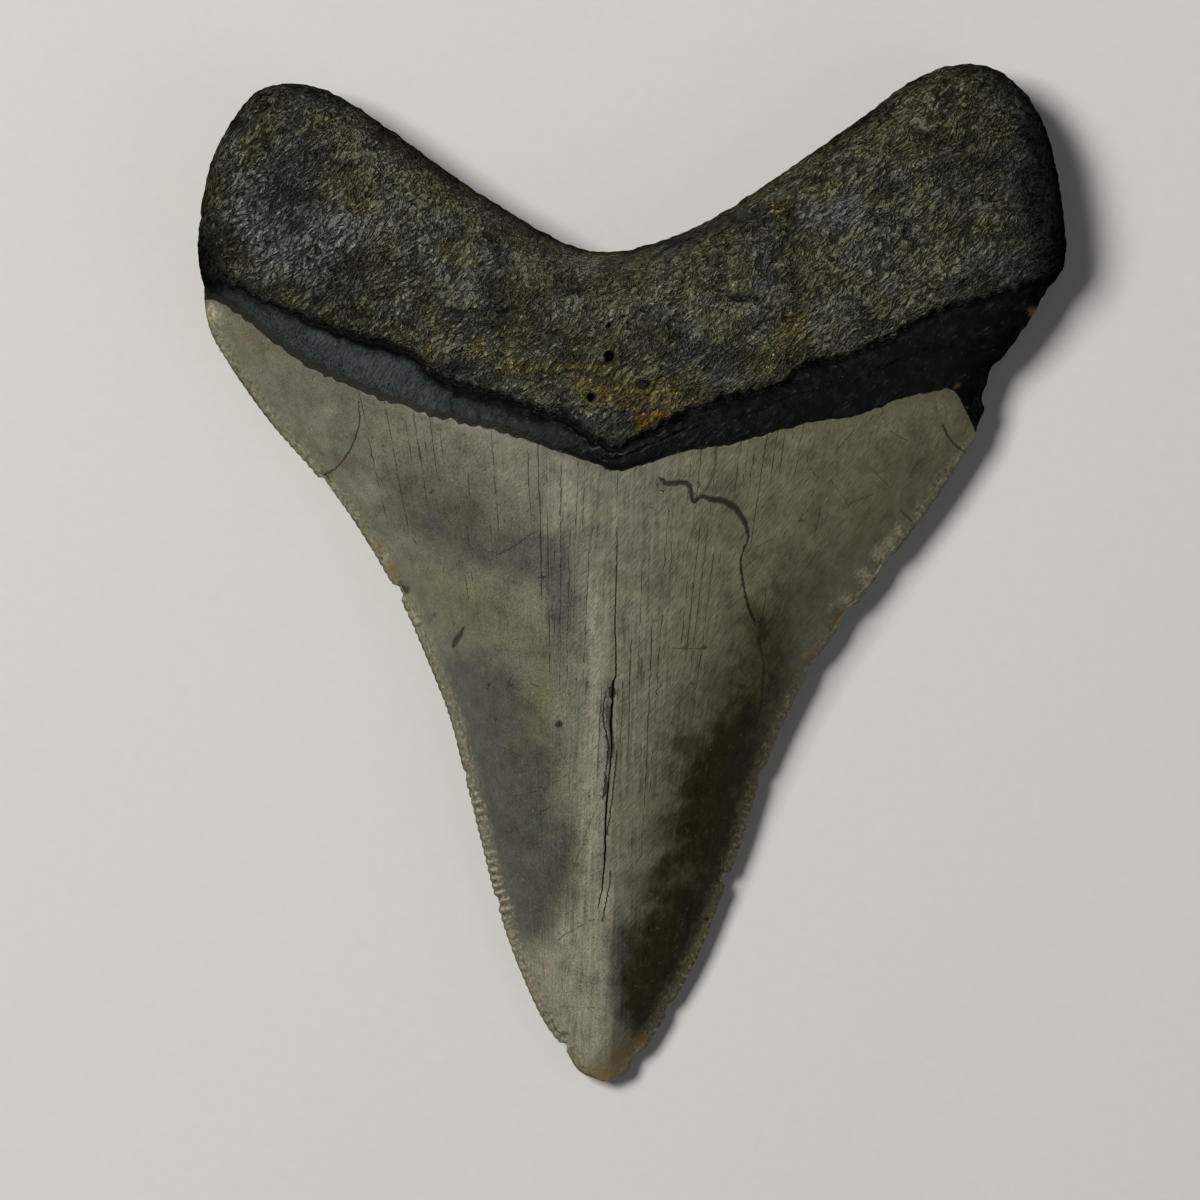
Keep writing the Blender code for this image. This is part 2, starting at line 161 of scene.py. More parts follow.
# Cracks of the enamel, as points from one end to the other.
MAIN_CRACK = [
    (-1.5, 4.5), (-1.5, 1.3), (-1.6, -2.0), (-1.7, -5.2), (-1.6, -7.7), (-1.6, -10.2), (-1.9, -11.0),
    (-1.9, -12.0), (-2.1, -15.2), (-2.0, -17.2), (-2.3, -20.7), (-2.6, -24.0), (-2.7, -28.7), (-3.0, -31.7),
    (-3.4, -33.4),
]
MAIN_CRACK_HALF_WIDTH = [
    0.02, 0.035, 0.045, 0.05, 0.05, 0.06, 0.08, 0.06, 0.1, 0.06, 0.06, 0.08, 0.07, 0.05, 0.03,
]
# Other marks of the enamel: points, half width at each or one for all, and how dark.
MARKS = [
    ([(-1.75, -10.5), (-1.9, -11.2), (-2.0, -12.0), (-1.95, -12.6)], [0.18, 0.16, 0.42, 0.2], 0.95),
    ([(-2.35, -13.1), (-2.3, -14.2), (-2.05, -15.6), (-1.9, -17.2), (-2.1, -18.6)], [0.12, 0.24, 0.16, 0.2,
    0.1], 0.75), ([(-0.9, -11.6), (-1.0, -14.6), (-1.2, -17.0)], 0.045, 0.7), ([(30.9, 14.9), (31.6, 13.6),
    (32.4, 12.7), (33.5, 12.0)], 0.12, 0.8), ([(25.6, 14.1), (27.7, 13.0)], 0.07, 0.45), ([(27.7, 9.3),
    (28.4, 10.8), (29.6, 11.7)], 0.11, 0.4), ([(26.7, 6.3), (28.3, 4.9)], 0.12, 0.6), ([(21.5, 6.8),
    (24.2, 7.9)], 0.06, 0.45), ([(20.2, 11.9), (22.0, 14.1)], 0.05, 0.4), ([(24.0, 10.2), (25.6, 8.6)],
    0.08, 0.35), ([(-2.6, -16.0), (-2.3, -17.4), (-2.5, -18.6)], [0.08, 0.16, 0.08], 0.9), ([(-1.9, -12.6),
    (-2.1, -14.0)], 0.1, 0.8), ([(-2.7, -19.6), (-2.5, -21.2), (-2.8, -22.4)], [0.06, 0.12, 0.06], 0.85),
    ([(-2.5, -11.6), (-2.8, -13.2), (-2.8, -15.0), (-2.4, -16.6), (-2.5, -19.0), (-2.9, -22.7)], 0.07,
    0.95), ([(-1.5, -17.5), (-1.7, -20.0), (-2.1, -23.5), (-2.5, -26.2)], 0.07, 0.9), ([(-2.1, -29.5),
    (-2.3, -31.4), (-3.0, -34.9)], 0.06, 0.9), ([(-0.9, -10.6), (-1.0, -13.0)], 0.05, 0.8), ([(-27.2, 17.2),
    (-27.1, 15.6), (-27.2, 14.6), (-27.7, 13.0), (-28.5, 11.6), (-29.6, 10.4), (-31.2, 9.5)], [0.05, 0.06,
    0.07, 0.09, 0.09, 0.08, 0.06], 0.85), ([(2.7, 9.4), (3.5, 8.8), (4.8, 8.9), (5.7, 8.6), (5.9, 7.4),
    (6.2, 7.0), (6.9, 7.6), (7.9, 7.2), (9.0, 7.1), (10.2, 6.4), (11.0, 5.3), (11.4, 4.3), (11.5, 3.3),
    (11.0, 2.1), (10.8, 0.8), (11.0, -0.9), (11.3, -2.4), (11.8, -4.0), (12.3, -5.0)], [0.14, 0.24, 0.26,
    0.24, 0.2, 0.16, 0.24, 0.3, 0.32, 0.32, 0.26, 0.2, 0.11, 0.1, 0.11, 0.11, 0.13, 0.16, 0.12], 0.92),
    ([(8.3, 12.6), (8.2, 10.4), (7.6, 8.6), (6.6, 7.5)], 0.16, 0.5), ([(12.6, -6.5), (13.1, -9.5),
    (12.8, -14.0)], 0.12, 0.6), ([(-17.9, -7.6), (-17.5, -6.7), (-17.1, -6.2), (-16.7, -5.3)], [0.12, 0.3,
    0.26, 0.05], 0.85), ([(-13.6, 1.7), (-12.0, 2.4), (-9.6, 4.1)], 0.06, 0.6), ([(-13.8, 1.6),
    (-15.8, 3.2)], 0.05, 0.5), ([(-7.4, -36.6), (-5.8, -35.6), (-4.3, -34.8)], 0.06, 0.6), ([(3.9, -7.5),
    (7.4, -7.6)], 0.05, 0.6), ([(11.0, 1.9), (14.2, 3.4)], 0.04, 0.5), ([(12.3, -5.0), (13.4, -4.6)], 0.08,
    0.7), ([(5.0, 1.2), (5.6, 2.9), (6.5, 5.0)], 0.08, 0.4), ([(-12.0, -22.4), (-8.6, -21.4),
    (-5.6, -19.6)], 0.04, 0.4), ([(-9.4, -21.0), (-8.6, -21.9)], 0.06, 0.6), ([(4.8, -21.5), (7.8, -18.2),
    (9.4, -14.6)], 0.05, 0.4), ([(-6.0, -30.0), (-4.8, -26.6), (-3.2, -22.4)], 0.035, 0.5),
    ([(-11.8, -24.7), (-11.3, -26.2)], 0.08, 0.6), ([(5.0, -24.1), (4.0, -24.1), (5.6, -24.2)], 0.06, 0.4),
    ([(7.6, -19.5), (7.5, -20.8), (6.0, -21.9), (4.3, -24.2)], 0.06, 0.5), ([(-14.0, -10.9),
    (-14.4, -11.5)], 0.14, 0.7), ([(-11.8, -10.0), (-12.6, -11.8)], 0.08, 0.5), ([(-10.2, -11.0),
    (-9.2, -11.4)], 0.07, 0.5), ([(-7.5, -43.4), (-3.0, -43.5)], 0.03, 0.35), ([(-6.4, -40.1),
    (-3.5, -40.4)], 0.03, 0.35), ([(-8.0, -44.6), (-7.7, -45.6), (-7.0, -46.2)], 0.08, 0.6), ([(-20.4, 8.0),
    (-19.6, 7.8)], 0.06, 0.5), ([(-8.1, -23.3), (-9.6, -24.2)], 0.05, 0.5), ([(-3.6, -34.5), (-5.2, -35.3),
    (-7.6, -36.8)], 0.06, 0.5), ([(14.0, 9.8), (15.2, 11.6)], 0.04, 0.45), ([(18.6, 9.2), (17.4, 11.0),
    (17.9, 12.6)], 0.05, 0.45), ([(22.0, 6.0), (19.6, 9.4)], 0.04, 0.4), ([(9.6, -16.2), (12.2, -12.0)],
    0.05, 0.35), ([(13.6, -1.6), (15.4, 1.0)], 0.04, 0.35), ([(-22.2, 3.0), (-18.6, 3.4)], 0.03, 0.3),
    ([(-26.0, 5.0), (-24.6, 6.8)], 0.04, 0.3),
]
# Dark flecks on the enamel: centre, radius and how dark.
FLECKS = [
    (-7.3, -15.1, 0.36, 0.85), (-8.9, -0.5, 0.22, 0.8), (-12.0, -11.2, 0.2, 0.6), (7.2, -7.5, 0.24, 0.7),
    (14.0, -10.4, 0.3, 0.6), (10.9, -11.3, 0.3, 0.6), (6.0, -11.0, 0.22, 0.5), (4.0, -15.0, 0.22, 0.5),
    (11.8, -15.0, 0.4, 0.6), (-17.9, -22.8, 0.3, 0.45), (-16.0, -24.3, 0.24, 0.5), (-19.7, -4.2, 0.2, 0.5),
    (-19.9, 8.0, 0.18, 0.6), (-2.2, 1.0, 0.2, 0.4), (7.5, -34.7, 0.26, 0.8), (4.8, -39.6, 0.24, 0.6),
    (0.1, -39.9, 0.22, 0.5), (5.6, -31.0, 0.2, 0.5), (-13.6, -14.6, 0.2, 0.5), (16.8, 5.2, 0.22, 0.5),
    (-10.4, 8.8, 0.16, 0.5), (1.9, 6.4, 0.16, 0.5), (-5.4, -29.2, 0.18, 0.5), (-24.8, 12.6, 0.18, 0.4),
]
# Lengthwise hair cracks: x at the top of the blade, the same cracks' x near the tip, and the two heights.
HAIR_TOP_X = [-26.0, -18.8, -10.4, -5.8, -3.8, -1.5, 0.3, 2.55, 5.0, 7.6, 9.5, 12.0, 16.0, 20.0]
HAIR_LOW_X = [-17.0, -13.8, -8.6, -6.9, -5.9, -2.9, -0.7, 0.95, 1.9, 2.8, 4.05, 6.0, 9.0, 12.0]
HAIR_TOP_Y, HAIR_LOW_Y = 12.0, -30.0
HAIR_SPACING = 0.8
# The clearest of them: x at the top, the Y it runs between, and its half width.
CLEAR_HAIRS = [
    (-18.8, 15.5, 9.0, 0.05), (-10.4, 13.5, 3.0, 0.045), (-7.1, 12.0, -14.0, 0.045), (-5.8, 6.0, -15.0, 0.05),
    (-4.6, 12.0, 2.0, 0.05), (-3.8, 4.0, -13.0, 0.04), (0.3, -6.0, -20.0, 0.055), (2.6, -3.0, -27.0, 0.065),
    (1.4, 2.0, -12.0, 0.04), (4.0, 8.0, -14.0, 0.04), (5.5, -8.0, -20.0, 0.04), (7.6, 6.0, -18.0, 0.05),
    (9.5, 4.0, -17.0, 0.045), (12.0, 14.0, 6.0, 0.05), (-1.4, 11.5, 4.0, 0.04),
]

# Soft stains: x, y, radius along X, radius along Y and strength.
OCHRE_STAINS = [
    (-3.0, 18.6, 3.4, 1.8, 0.6), (2.0, 17.4, 4.0, 1.6, 0.6), (-7.0, 20.6, 3.0, 1.6, 0.45),
    (-11.5, 20.2, 2.4, 1.2, 0.5), (-18.6, 32.5, 1.3, 1.0, 0.7), (-15.3, 30.5, 0.4, 0.4, 1.3),
    (-27.0, 36.8, 2.2, 1.6, 0.75), (-31.6, 41.3, 1.8, 1.8, 0.45), (-21.5, 40.9, 1.2, 1.0, 0.5),
    (-4.1, 31.6, 0.9, 0.5, 0.9), (0.2, 31.8, 0.9, 0.8, 0.6), (-15.4, 22.8, 0.9, 1.0, 0.9),
    (-6.4, 24.6, 1.3, 1.0, 0.5), (-7.5, 21.5, 0.4, 1.2, 0.7), (-3.8, 19.0, 1.7, 1.6, 0.85),
    (-13.0, 21.5, 4.0, 2.0, 0.4), (0.2, 17.0, 2.2, 1.0, 1.0), (5.5, 17.4, 2.5, 1.6, 0.45),
    (14.5, 36.2, 1.3, 0.8, 1.2), (20.0, 38.7, 1.1, 0.6, 0.7), (12.3, 34.5, 0.8, 0.6, 0.6),
    (8.2, 34.9, 1.2, 0.8, 0.4), (7.5, 28.3, 0.8, 0.8, 0.5), (16.1, 24.8, 1.4, 1.8, 0.9),
    (15.0, 22.0, 2.6, 1.8, 0.8), (12.8, 20.6, 2.2, 1.4, 0.75), (2.9, 18.6, 2.0, 1.4, 0.5),
    (5.3, 20.4, 0.6, 0.6, 0.9), (24.7, 26.5, 3.0, 1.4, 0.4), (24.4, 23.9, 1.6, 1.2, 0.4),
    (31.5, 30.0, 1.2, 1.2, 0.35), (34.6, 30.1, 1.1, 1.1, 0.4), (40.1, 26.1, 0.8, 0.5, 1.0),
    (32.4, 18.7, 0.55, 0.45, 0.6), (-20.4, 21.8, 1.2, 1.6, 0.75), (-36.8, 32.0, 1.4, 1.2, 0.35),
    (-30.0, 25.8, 1.2, 0.8, 0.6),
]
BRIGHT_OCHRE = [
    (1.6, 14.9, 1.3, 0.8, 0.8), (-2.6, 17.8, 0.8, 0.7, 0.6), (0.9, 14.7, 0.8, 0.8, 1.4),
    (2.9, 15.3, 1.2, 0.5, 0.9), (4.4, 15.6, 0.8, 0.4, 0.7), (-15.3, 30.3, 0.3, 0.3, 0.7),
    (14.5, 36.0, 1.2, 0.6, 0.5), (-0.6, 16.6, 1.6, 0.7, 0.5),
]
# Dark places of the root: dark patches, and pits and hollows whose black is painted shade.
DARK_ROOT = [
    (43.0, 34.0, 4.0, 9.0, 1.1), (39.0, 42.0, 6.0, 9.0, 0.4), (-42.8, 30.5, 2.2, 4.0, 0.9),
    (-41.0, 28.2, 2.4, 1.2, 0.7), (-14.2, 28.7, 1.0, 0.8, 0.6), (-7.3, 28.9, 1.4, 0.6, 0.6),
    (-3.1, 27.6, 2.5, 0.6, 0.5), (-12.6, 26.0, 1.2, 0.4, 1.0), (4.5, 23.4, 1.3, 0.6, 0.9),
    (1.1, 18.5, 0.9, 0.55, 1.4), (-4.0, 17.5, 0.6, 0.4, 1.0), (-28.3, 40.3, 1.4, 1.0, 0.7),
    (-24.6, 31.6, 1.2, 0.8, 0.6), (-17.5, 20.3, 2.4, 1.2, 0.9), (11.0, 27.1, 1.8, 0.5, 1.0),
    (8.5, 17.6, 1.8, 0.8, 0.6), (36.0, 29.0, 3.0, 1.6, 0.5), (-0.5, 14.6, 1.5, 0.7, 0.8),
    (10.8, 35.0, 1.6, 0.6, 0.6), (-9.0, 33.0, 2.4, 1.0, 0.3), (30.0, 40.0, 8.0, 8.0, 0.25),
    (-39.5, 44.5, 3.5, 3.0, 0.25), (-25.0, 44.0, 5.0, 1.6, 0.35),
]
BLUE_ROOT = [
    (-35.0, 36.0, 5.0, 5.5, 0.6), (-32.5, 42.0, 4.0, 3.0, 0.4), (-26.0, 35.0, 4.0, 2.4, 0.35),
    (18.0, 32.0, 4.0, 3.0, 0.3), (-36.7, 37.0, 2.5, 2.2, 0.7), (-35.3, 33.0, 3.2, 3.2, 0.7),
    (-28.6, 33.0, 2.6, 2.0, 0.6), (20.3, 35.6, 2.4, 2.0, 0.6), (-31.0, 29.0, 4.0, 2.0, 0.4),
    (3.0, 29.0, 2.4, 1.2, 0.35), (1.8, 22.0, 3.2, 1.6, 0.45), (13.0, 28.4, 1.8, 0.9, 0.7),
    (-18.5, 29.5, 1.0, 1.6, 0.5), (26.0, 35.0, 4.0, 3.0, 0.3), (8.0, 24.0, 2.4, 1.6, 0.4),
    (38.5, 30.5, 2.2, 1.4, 0.6),
]
COOL_CLOUDS = [
    (-12.5, -27.5, 3.2, 4.5, 0.7), (-7.4, -26.5, 2.4, 3.4, 0.5), (-12.6, -17.0, 4.2, 5.0, 0.5),
    (-12.5, -16.5, 3.6, 5.0, 0.55), (-12.6, -28.6, 2.6, 5.0, 0.5), (-1.2, -39.0, 1.0, 6.0, 0.5),
    (-7.2, -2.2, 1.7, 5.5, 1.1), (-15.2, 2.8, 5.0, 3.0, 0.7), (-10.2, 1.3, 3.2, 2.4, 0.85),
    (-19.5, 5.6, 4.0, 2.4, 0.45), (-16.2, -15.7, 2.8, 5.0, 0.85), (-17.4, -9.6, 2.2, 2.6, 0.6),
    (-13.2, -27.7, 3.4, 6.0, 1.2), (-9.2, -29.7, 3.2, 3.8, 0.95), (-12.5, -21.0, 3.6, 4.0, 0.7),
    (4.8, -12.7, 3.4, 4.6, 0.45), (-1.2, -41.0, 1.3, 6.0, 0.9), (-9.5, -35.4, 2.6, 1.6, 0.6),
    (3.5, 0.0, 4.0, 3.6, 0.4), (-30.5, 19.0, 4.0, 3.0, 0.3), (8.5, 8.3, 1.6, 0.8, 0.7),
    (-12.0, -13.2, 2.6, 3.2, 0.35), (-24.0, 10.0, 3.0, 4.0, 0.35), (-13.5, -12.5, 3.6, 6.0, 0.55),
    (-12.0, -19.0, 4.6, 5.0, 0.5), (-21.0, 8.0, 5.0, 4.5, 0.35), (-14.0, 8.0, 5.0, 3.0, 0.35),
    (-11.5, -25.0, 3.4, 5.0, 0.4), (-9.6, -35.0, 3.0, 4.0, 0.35),
]
YELLOW_CLOUDS = [
    (-15.5, -4.2, 4.0, 3.2, 1.1), (-20.5, -1.2, 2.4, 1.8, 0.9), (-9.2, -13.2, 1.6, 6.0, 0.7),
    (5.8, -7.2, 2.4, 2.4, 0.5), (-9.0, -7.5, 1.6, 3.4, 0.5), (27.0, 12.0, 5.0, 4.0, 0.35),
    (1.2, -22.0, 1.5, 6.0, 0.5), (-11.0, 8.2, 3.0, 2.6, 0.3), (14.5, 12.6, 1.6, 1.2, 0.4),
    (-26.0, 6.4, 2.2, 2.0, 0.4),
]
# Olive-brown stains on the blade's right, which also stand in for the shade of its right flank: partly
# painted shade.
DARK_STAIN_AND_SHADE_CLOUDS = [
    (6.4, -25.0, 4.0, 8.0, 0.25), (1.8, -44.6, 2.2, 3.0, 0.5), (-13.2, -17.0, 3.0, 6.0, 0.26),
    (-12.4, -27.0, 3.0, 5.5, 0.3), (-6.5, -28.0, 2.0, 3.0, 0.12), (8.5, -22.0, 5.5, 9.0, 0.35),
    (5.0, -36.0, 4.5, 8.0, 0.3), (14.5, -8.0, 4.0, 7.0, 0.2), (0.6, -40.5, 2.0, 6.0, 0.75),
    (10.0, -3.0, 6.0, 6.0, 0.14), (9.0, -12.0, 5.0, 8.0, 0.16), (11.5, -19.5, 3.6, 5.0, 0.5),
    (4.4, -38.0, 3.0, 6.0, 0.5), (9.6, -25.5, 3.6, 5.0, 0.4), (12.0, -15.0, 4.0, 6.0, 0.6),
    (14.0, -9.0, 3.6, 5.0, 0.4), (9.0, -22.5, 4.4, 6.0, 0.65), (8.0, -29.5, 3.6, 6.5, 0.8),
    (5.0, -34.0, 3.4, 5.0, 0.6), (3.6, -39.6, 2.9, 5.0, 0.95), (1.8, -44.6, 1.8, 2.6, 0.8),
    (17.0, -2.0, 4.0, 4.0, 0.3), (28.0, 9.0, 6.0, 6.0, 0.18), (-18.2, -14.0, 1.2, 2.4, 0.4),
    (10.6, -31.0, 1.8, 5.0, 0.35), (10.6, -17.4, 2.0, 3.0, 0.35), (16.4, -12.6, 1.6, 2.6, 0.4),
    (12.4, -5.4, 2.0, 2.4, 0.3), (21.0, 1.6, 4.0, 3.0, 0.2), (5.4, -19.0, 2.2, 5.0, 0.25),
    (7.0, -40.0, 1.6, 4.0, 0.4), (-10.4, 5.6, 2.4, 1.6, 0.2), (0.6, -41.0, 1.2, 5.0, 0.35),
    (3.2, -27.0, 1.6, 6.0, 0.2), (13.0, 8.0, 8.0, 6.0, 0.12),
]
# Pale enamel, and a painted highlight along the blade's ridge and on its lit left flank near the tip.
PALE_AND_HIGHLIGHT_CLOUDS = [
    (-3.7, -4.0, 1.2, 5.0, 0.75), (-3.7, -14.0, 1.2, 8.0, 0.9), (-4.0, -26.0, 1.5, 7.0, 1.0),
    (-5.2, -36.5, 2.4, 3.6, 1.0), (-5.8, -41.5, 3.2, 4.0, 1.2), (-5.0, -46.5, 2.6, 3.0, 1.0),
    (-6.5, 7.3, 2.8, 3.6, 0.6), (1.0, -19.0, 1.0, 5.0, 0.5), (-9.6, -40.0, 2.2, 3.4, 0.7),
    (-32.0, 14.0, 4.0, 4.0, 0.4), (-36.5, 18.5, 3.6, 3.4, 0.25), (-26.5, 8.0, 2.2, 2.6, 0.6),
    (-22.0, 13.4, 3.4, 2.6, 0.35), (24.6, 0.8, 1.2, 1.4, 0.8), (21.2, -2.8, 1.2, 1.4, 0.8),
    (-12.6, 10.8, 2.2, 2.2, 0.4), (-41.6, 25.6, 0.8, 1.4, 1.2), (9.4, -30.2, 0.4, 0.3, 1.6),
    (5.2, -8.1, 0.22, 0.22, 1.8), (9.6, 10.8, 1.4, 1.6, 0.35), (-2.2, -33.0, 0.8, 3.0, 0.6),
]
TIP_STAINS = [
    (20.7, 14.4, 0.9, 0.6, 0.6), (30.2, 12.6, 1.0, 0.7, 0.45), (28.2, 10.2, 1.0, 1.6, 0.28),
    (27.0, 6.0, 1.4, 1.4, 0.25), (-2.9, -50.6, 2.8, 1.2, 0.9), (-0.9, -48.4, 1.5, 1.6, 0.9),
    (1.2, -46.8, 1.2, 1.2, 0.7), (-6.2, -48.6, 1.0, 1.0, 0.5), (20.9, -4.6, 0.7, 0.6, 1.4),
    (17.9, -8.3, 0.8, 0.8, 1.0), (22.3, -2.6, 0.5, 0.5, 0.8), (-23.8, 0.3, 1.1, 1.2, 0.8),
    (-25.4, 2.4, 0.8, 1.2, 0.6), (-41.8, 25.0, 0.4, 0.7, 0.5), (-28.9, 11.2, 0.35, 0.6, 1.0),
    (-30.2, 10.0, 0.6, 0.35, 1.1), (-27.9, 12.6, 0.25, 0.5, 0.6), (30.0, 11.4, 0.7, 0.9, 0.6),
    (26.4, 8.6, 0.6, 1.0, 0.4),
]
# Bright places where the cutting edges are worn or flaked; part of their brightness is a painted glint where
# the flaked faces catch the light.
WORN_AND_GLINTING_FACETS = [
    (24.6, 1.9, 0.7, 0.9, 1.3), (23.0, -0.3, 0.8, 0.9, 1.2), (21.5, -2.6, 0.7, 0.6, 1.2),
    (20.0, -3.2, 0.5, 0.9, 0.8), (25.6, 3.0, 0.5, 0.8, 1.2), (26.6, 4.2, 0.5, 0.8, 1.1),
    (28.6, 7.0, 0.4, 0.9, 0.6), (17.4, -8.2, 0.5, 0.5, 0.7), (15.6, -12.6, 0.4, 0.8, 0.6),
    (9.3, -30.3, 0.35, 0.3, 1.3), (-42.0, 26.0, 0.6, 0.9, 1.0), (-30.0, 8.6, 0.5, 0.5, 0.6),
    (5.2, -8.1, 0.2, 0.2, 1.6), (30.8, 16.8, 0.8, 0.4, 0.5), (-24.5, 1.4, 0.4, 0.8, 0.6),
    (-21.6, -4.2, 0.4, 1.0, 0.6), (-1.4, -49.4, 0.7, 0.5, 0.5),
]
# Dirt in chips and hollows.
DIRT_SPOTS = [
    (-22.9, -1.7, 0.75, 0.5, 1.5), (-30.7, 9.4, 0.6, 0.4, 1.3), (9.0, -30.6, 0.5, 0.5, 1.2),
    (7.6, 2.4, 0.4, 0.3, 0.6), (20.2, -3.7, 0.3, 0.7, 0.9), (-2.0, -11.9, 0.45, 0.6, 1.0),
    (-6.6, -46.2, 0.5, 0.25, 0.8), (-13.0, -36.8, 0.3, 0.3, 0.7),
]

# How fresh the serrations are, by their distance along the edge from the tip: below zero on the left side.
SERRATION_PLACES = [-95.0, -80.0, -66.0, -50.0, -36.0, -28.0, -16.0, -8.0, 8.0, 30.0, 44.0, 54.0, 62.0, 78.0]
SERRATION_WEAR = [0.2, 0.4, 0.5, 0.45, 0.65, 1.0, 0.9, 0.5, 0.4, 0.75, 0.6, 0.3, 0.35, 0.5]
MARK_REACH = 0.34  # how far beside a mark its width is kept
FAR_BESIDE = 0.9  # how much further its distance is kept
CURVE_STEPS = 8  # straight steps between two points of a smooth curve
MARGIN_POINTS = 900  # points of a ragged margin


class ToothShape(PropertyGroup):
    """Sizes of the tooth's fine relief."""

    serration_pitch: FloatProperty(
        name="Serration Pitch", description="Distance from one serration to the next along a cutting edge",
        default=0.86 * MM, min=0.3 * MM, unit="LENGTH")
    serration_depth: FloatProperty(
        name="Serration Depth", description="How far the notches between serrations cut into the outline",
        default=0.17 * MM, min=0.0, unit="LENGTH")
    serration_reach: FloatProperty(
        name="Serration Reach", description="How far the ridges of the serrations run onto the faces",
        default=1.2 * MM, min=0.1 * MM, unit="LENGTH")
    enamel_thickness: FloatProperty(
        name="Enamel Thickness", description="Step from the dark band up to the enamel",
        default=0.13 * MM, min=0.0, unit="LENGTH")
    wrinkle_height: FloatProperty(
        name="Wrinkle Height", description="Height of the short strokes that cover the root",
        default=0.6 * MM, min=0.0, unit="LENGTH")
    wrinkle_width: FloatProperty(
        name="Wrinkle Width", description="Width of one stroke of the root's relief",
        default=0.8 * MM, min=0.1 * MM, unit="LENGTH")
    wrinkle_angle: FloatProperty(
        name="Wrinkle Angle", description="Direction of the strokes, counted from +X",
        default=math.radians(46), subtype="ANGLE")
    pit_spacing: FloatProperty(
        name="Pit Spacing", description="Distance between neighbouring pits of the root",
        default=2.3 * MM, min=0.5 * MM, unit="LENGTH")
    crack_depth: FloatProperty(
        name="Crack Depth", description="Depth of the long crack along the blade",
        default=0.4 * MM, min=0.0, unit="LENGTH")
    rows: IntProperty(
        name="Rows", description="Rows of the surface from the root to the tip, before it is thinned",
        default=620, min=60)
    columns: IntProperty(
        name="Columns", description="Columns of the surface from side to side, before it is thinned",
        default=400, min=40)
    triangles: IntProperty(
        name="Triangles", description="Triangles that are kept when the flat places are thinned",
        default=196000, min=2000)


class ToothColours(PropertyGroup):
    """Colours of the fossil's finishes, some of them painted light and shade."""

    root: FloatVectorProperty(
        name="Root", description="Raised strokes of the root", subtype="COLOR", size=4,
        default=(0.184, 0.190, 0.153, 1))
    # Painted shade: the colour of the valleys between the root's strokes, also mixed in at the root's ledge
    # and outline.
    root_valley_shade: FloatVectorProperty(
        name="Root Valleys", description="Between the strokes of the root", subtype="COLOR", size=4,
        default=(0.006, 0.006, 0.004, 1))
    root_moss: FloatVectorProperty(
        name="Root Tint", description="Olive-brown patches of the root", subtype="COLOR", size=4,
        default=(0.158, 0.155, 0.083, 1))
    root_blue: FloatVectorProperty(
        name="Root Blue", description="Blue-grey patches of the root", subtype="COLOR", size=4,
        default=(0.190, 0.205, 0.203, 1))
    ochre: FloatVectorProperty(
        name="Ochre", description="Iron stains of the root", subtype="COLOR", size=4,
        default=(0.205, 0.160, 0.050, 1))
    bright_ochre: FloatVectorProperty(
        name="Bright Ochre", description="Strongest iron stain, over the middle of the band", subtype="COLOR",
        size=4, default=(0.36, 0.19, 0.020, 1))
    band: FloatVectorProperty(
        name="Dark Band", description="The band between the root and the enamel", subtype="COLOR", size=4,
        default=(0.0025, 0.003, 0.003, 1))
    # Painted sheen on the lit left half of the band.
    band_sheen: FloatVectorProperty(
        name="Band Sheen", description="Blue-grey bloom on the left of the band", subtype="COLOR", size=4,
        default=(0.040, 0.050, 0.051, 1))
    enamel: FloatVectorProperty(
        name="Enamel", description="Olive-grey enamel", subtype="COLOR", size=4,
        default=(0.133, 0.133, 0.095, 1))
    enamel_cool: FloatVectorProperty(
        name="Enamel Clouds", description="Blue-grey clouds in the enamel", subtype="COLOR", size=4,
        default=(0.056, 0.058, 0.047, 1))
    enamel_yellow: FloatVectorProperty(
        name="Enamel Yellow", description="Yellowish clouds in the enamel", subtype="COLOR", size=4,
        default=(0.118, 0.113, 0.064, 1))
    # Partly olive-brown stain, partly painted shade of the blade's right flank.
    enamel_dark_stain_and_shade: FloatVectorProperty(
        name="Enamel Dark", description="Olive-brown clouds on the blade's right", subtype="COLOR", size=4,
        default=(0.018, 0.016, 0.006, 1))
    # Partly pale enamel, partly a painted highlight on the ridge, the lit left flank and the right edge of
    # the long crack.
    enamel_pale_and_highlight: FloatVectorProperty(
        name="Enamel Pale", description="Pale ridge and tip", subtype="COLOR", size=4,
        default=(0.225, 0.208, 0.155, 1))
    tip: FloatVectorProperty(
        name="Tip", description="Brown stain at the tip and along the cutting edges", subtype="COLOR", size=4,
        default=(0.16, 0.105, 0.040, 1))
    # Partly pale wear, partly a painted glint where the flaked edges catch the light.
    worn: FloatVectorProperty(
        name="Worn Facets", description="Bright worn places of the cutting edges", subtype="COLOR", size=4,
        default=(0.43, 0.38, 0.25, 1))
    dirt: FloatVectorProperty(
        name="Dirt", description="Dirt in chips and hollows", subtype="COLOR", size=4,
        default=(0.018, 0.016, 0.009, 1))
    crack: FloatVectorProperty(
        name="Cracks", description="Dirt in the cracks", subtype="COLOR", size=4,
        default=(0.009, 0.008, 0.005, 1))


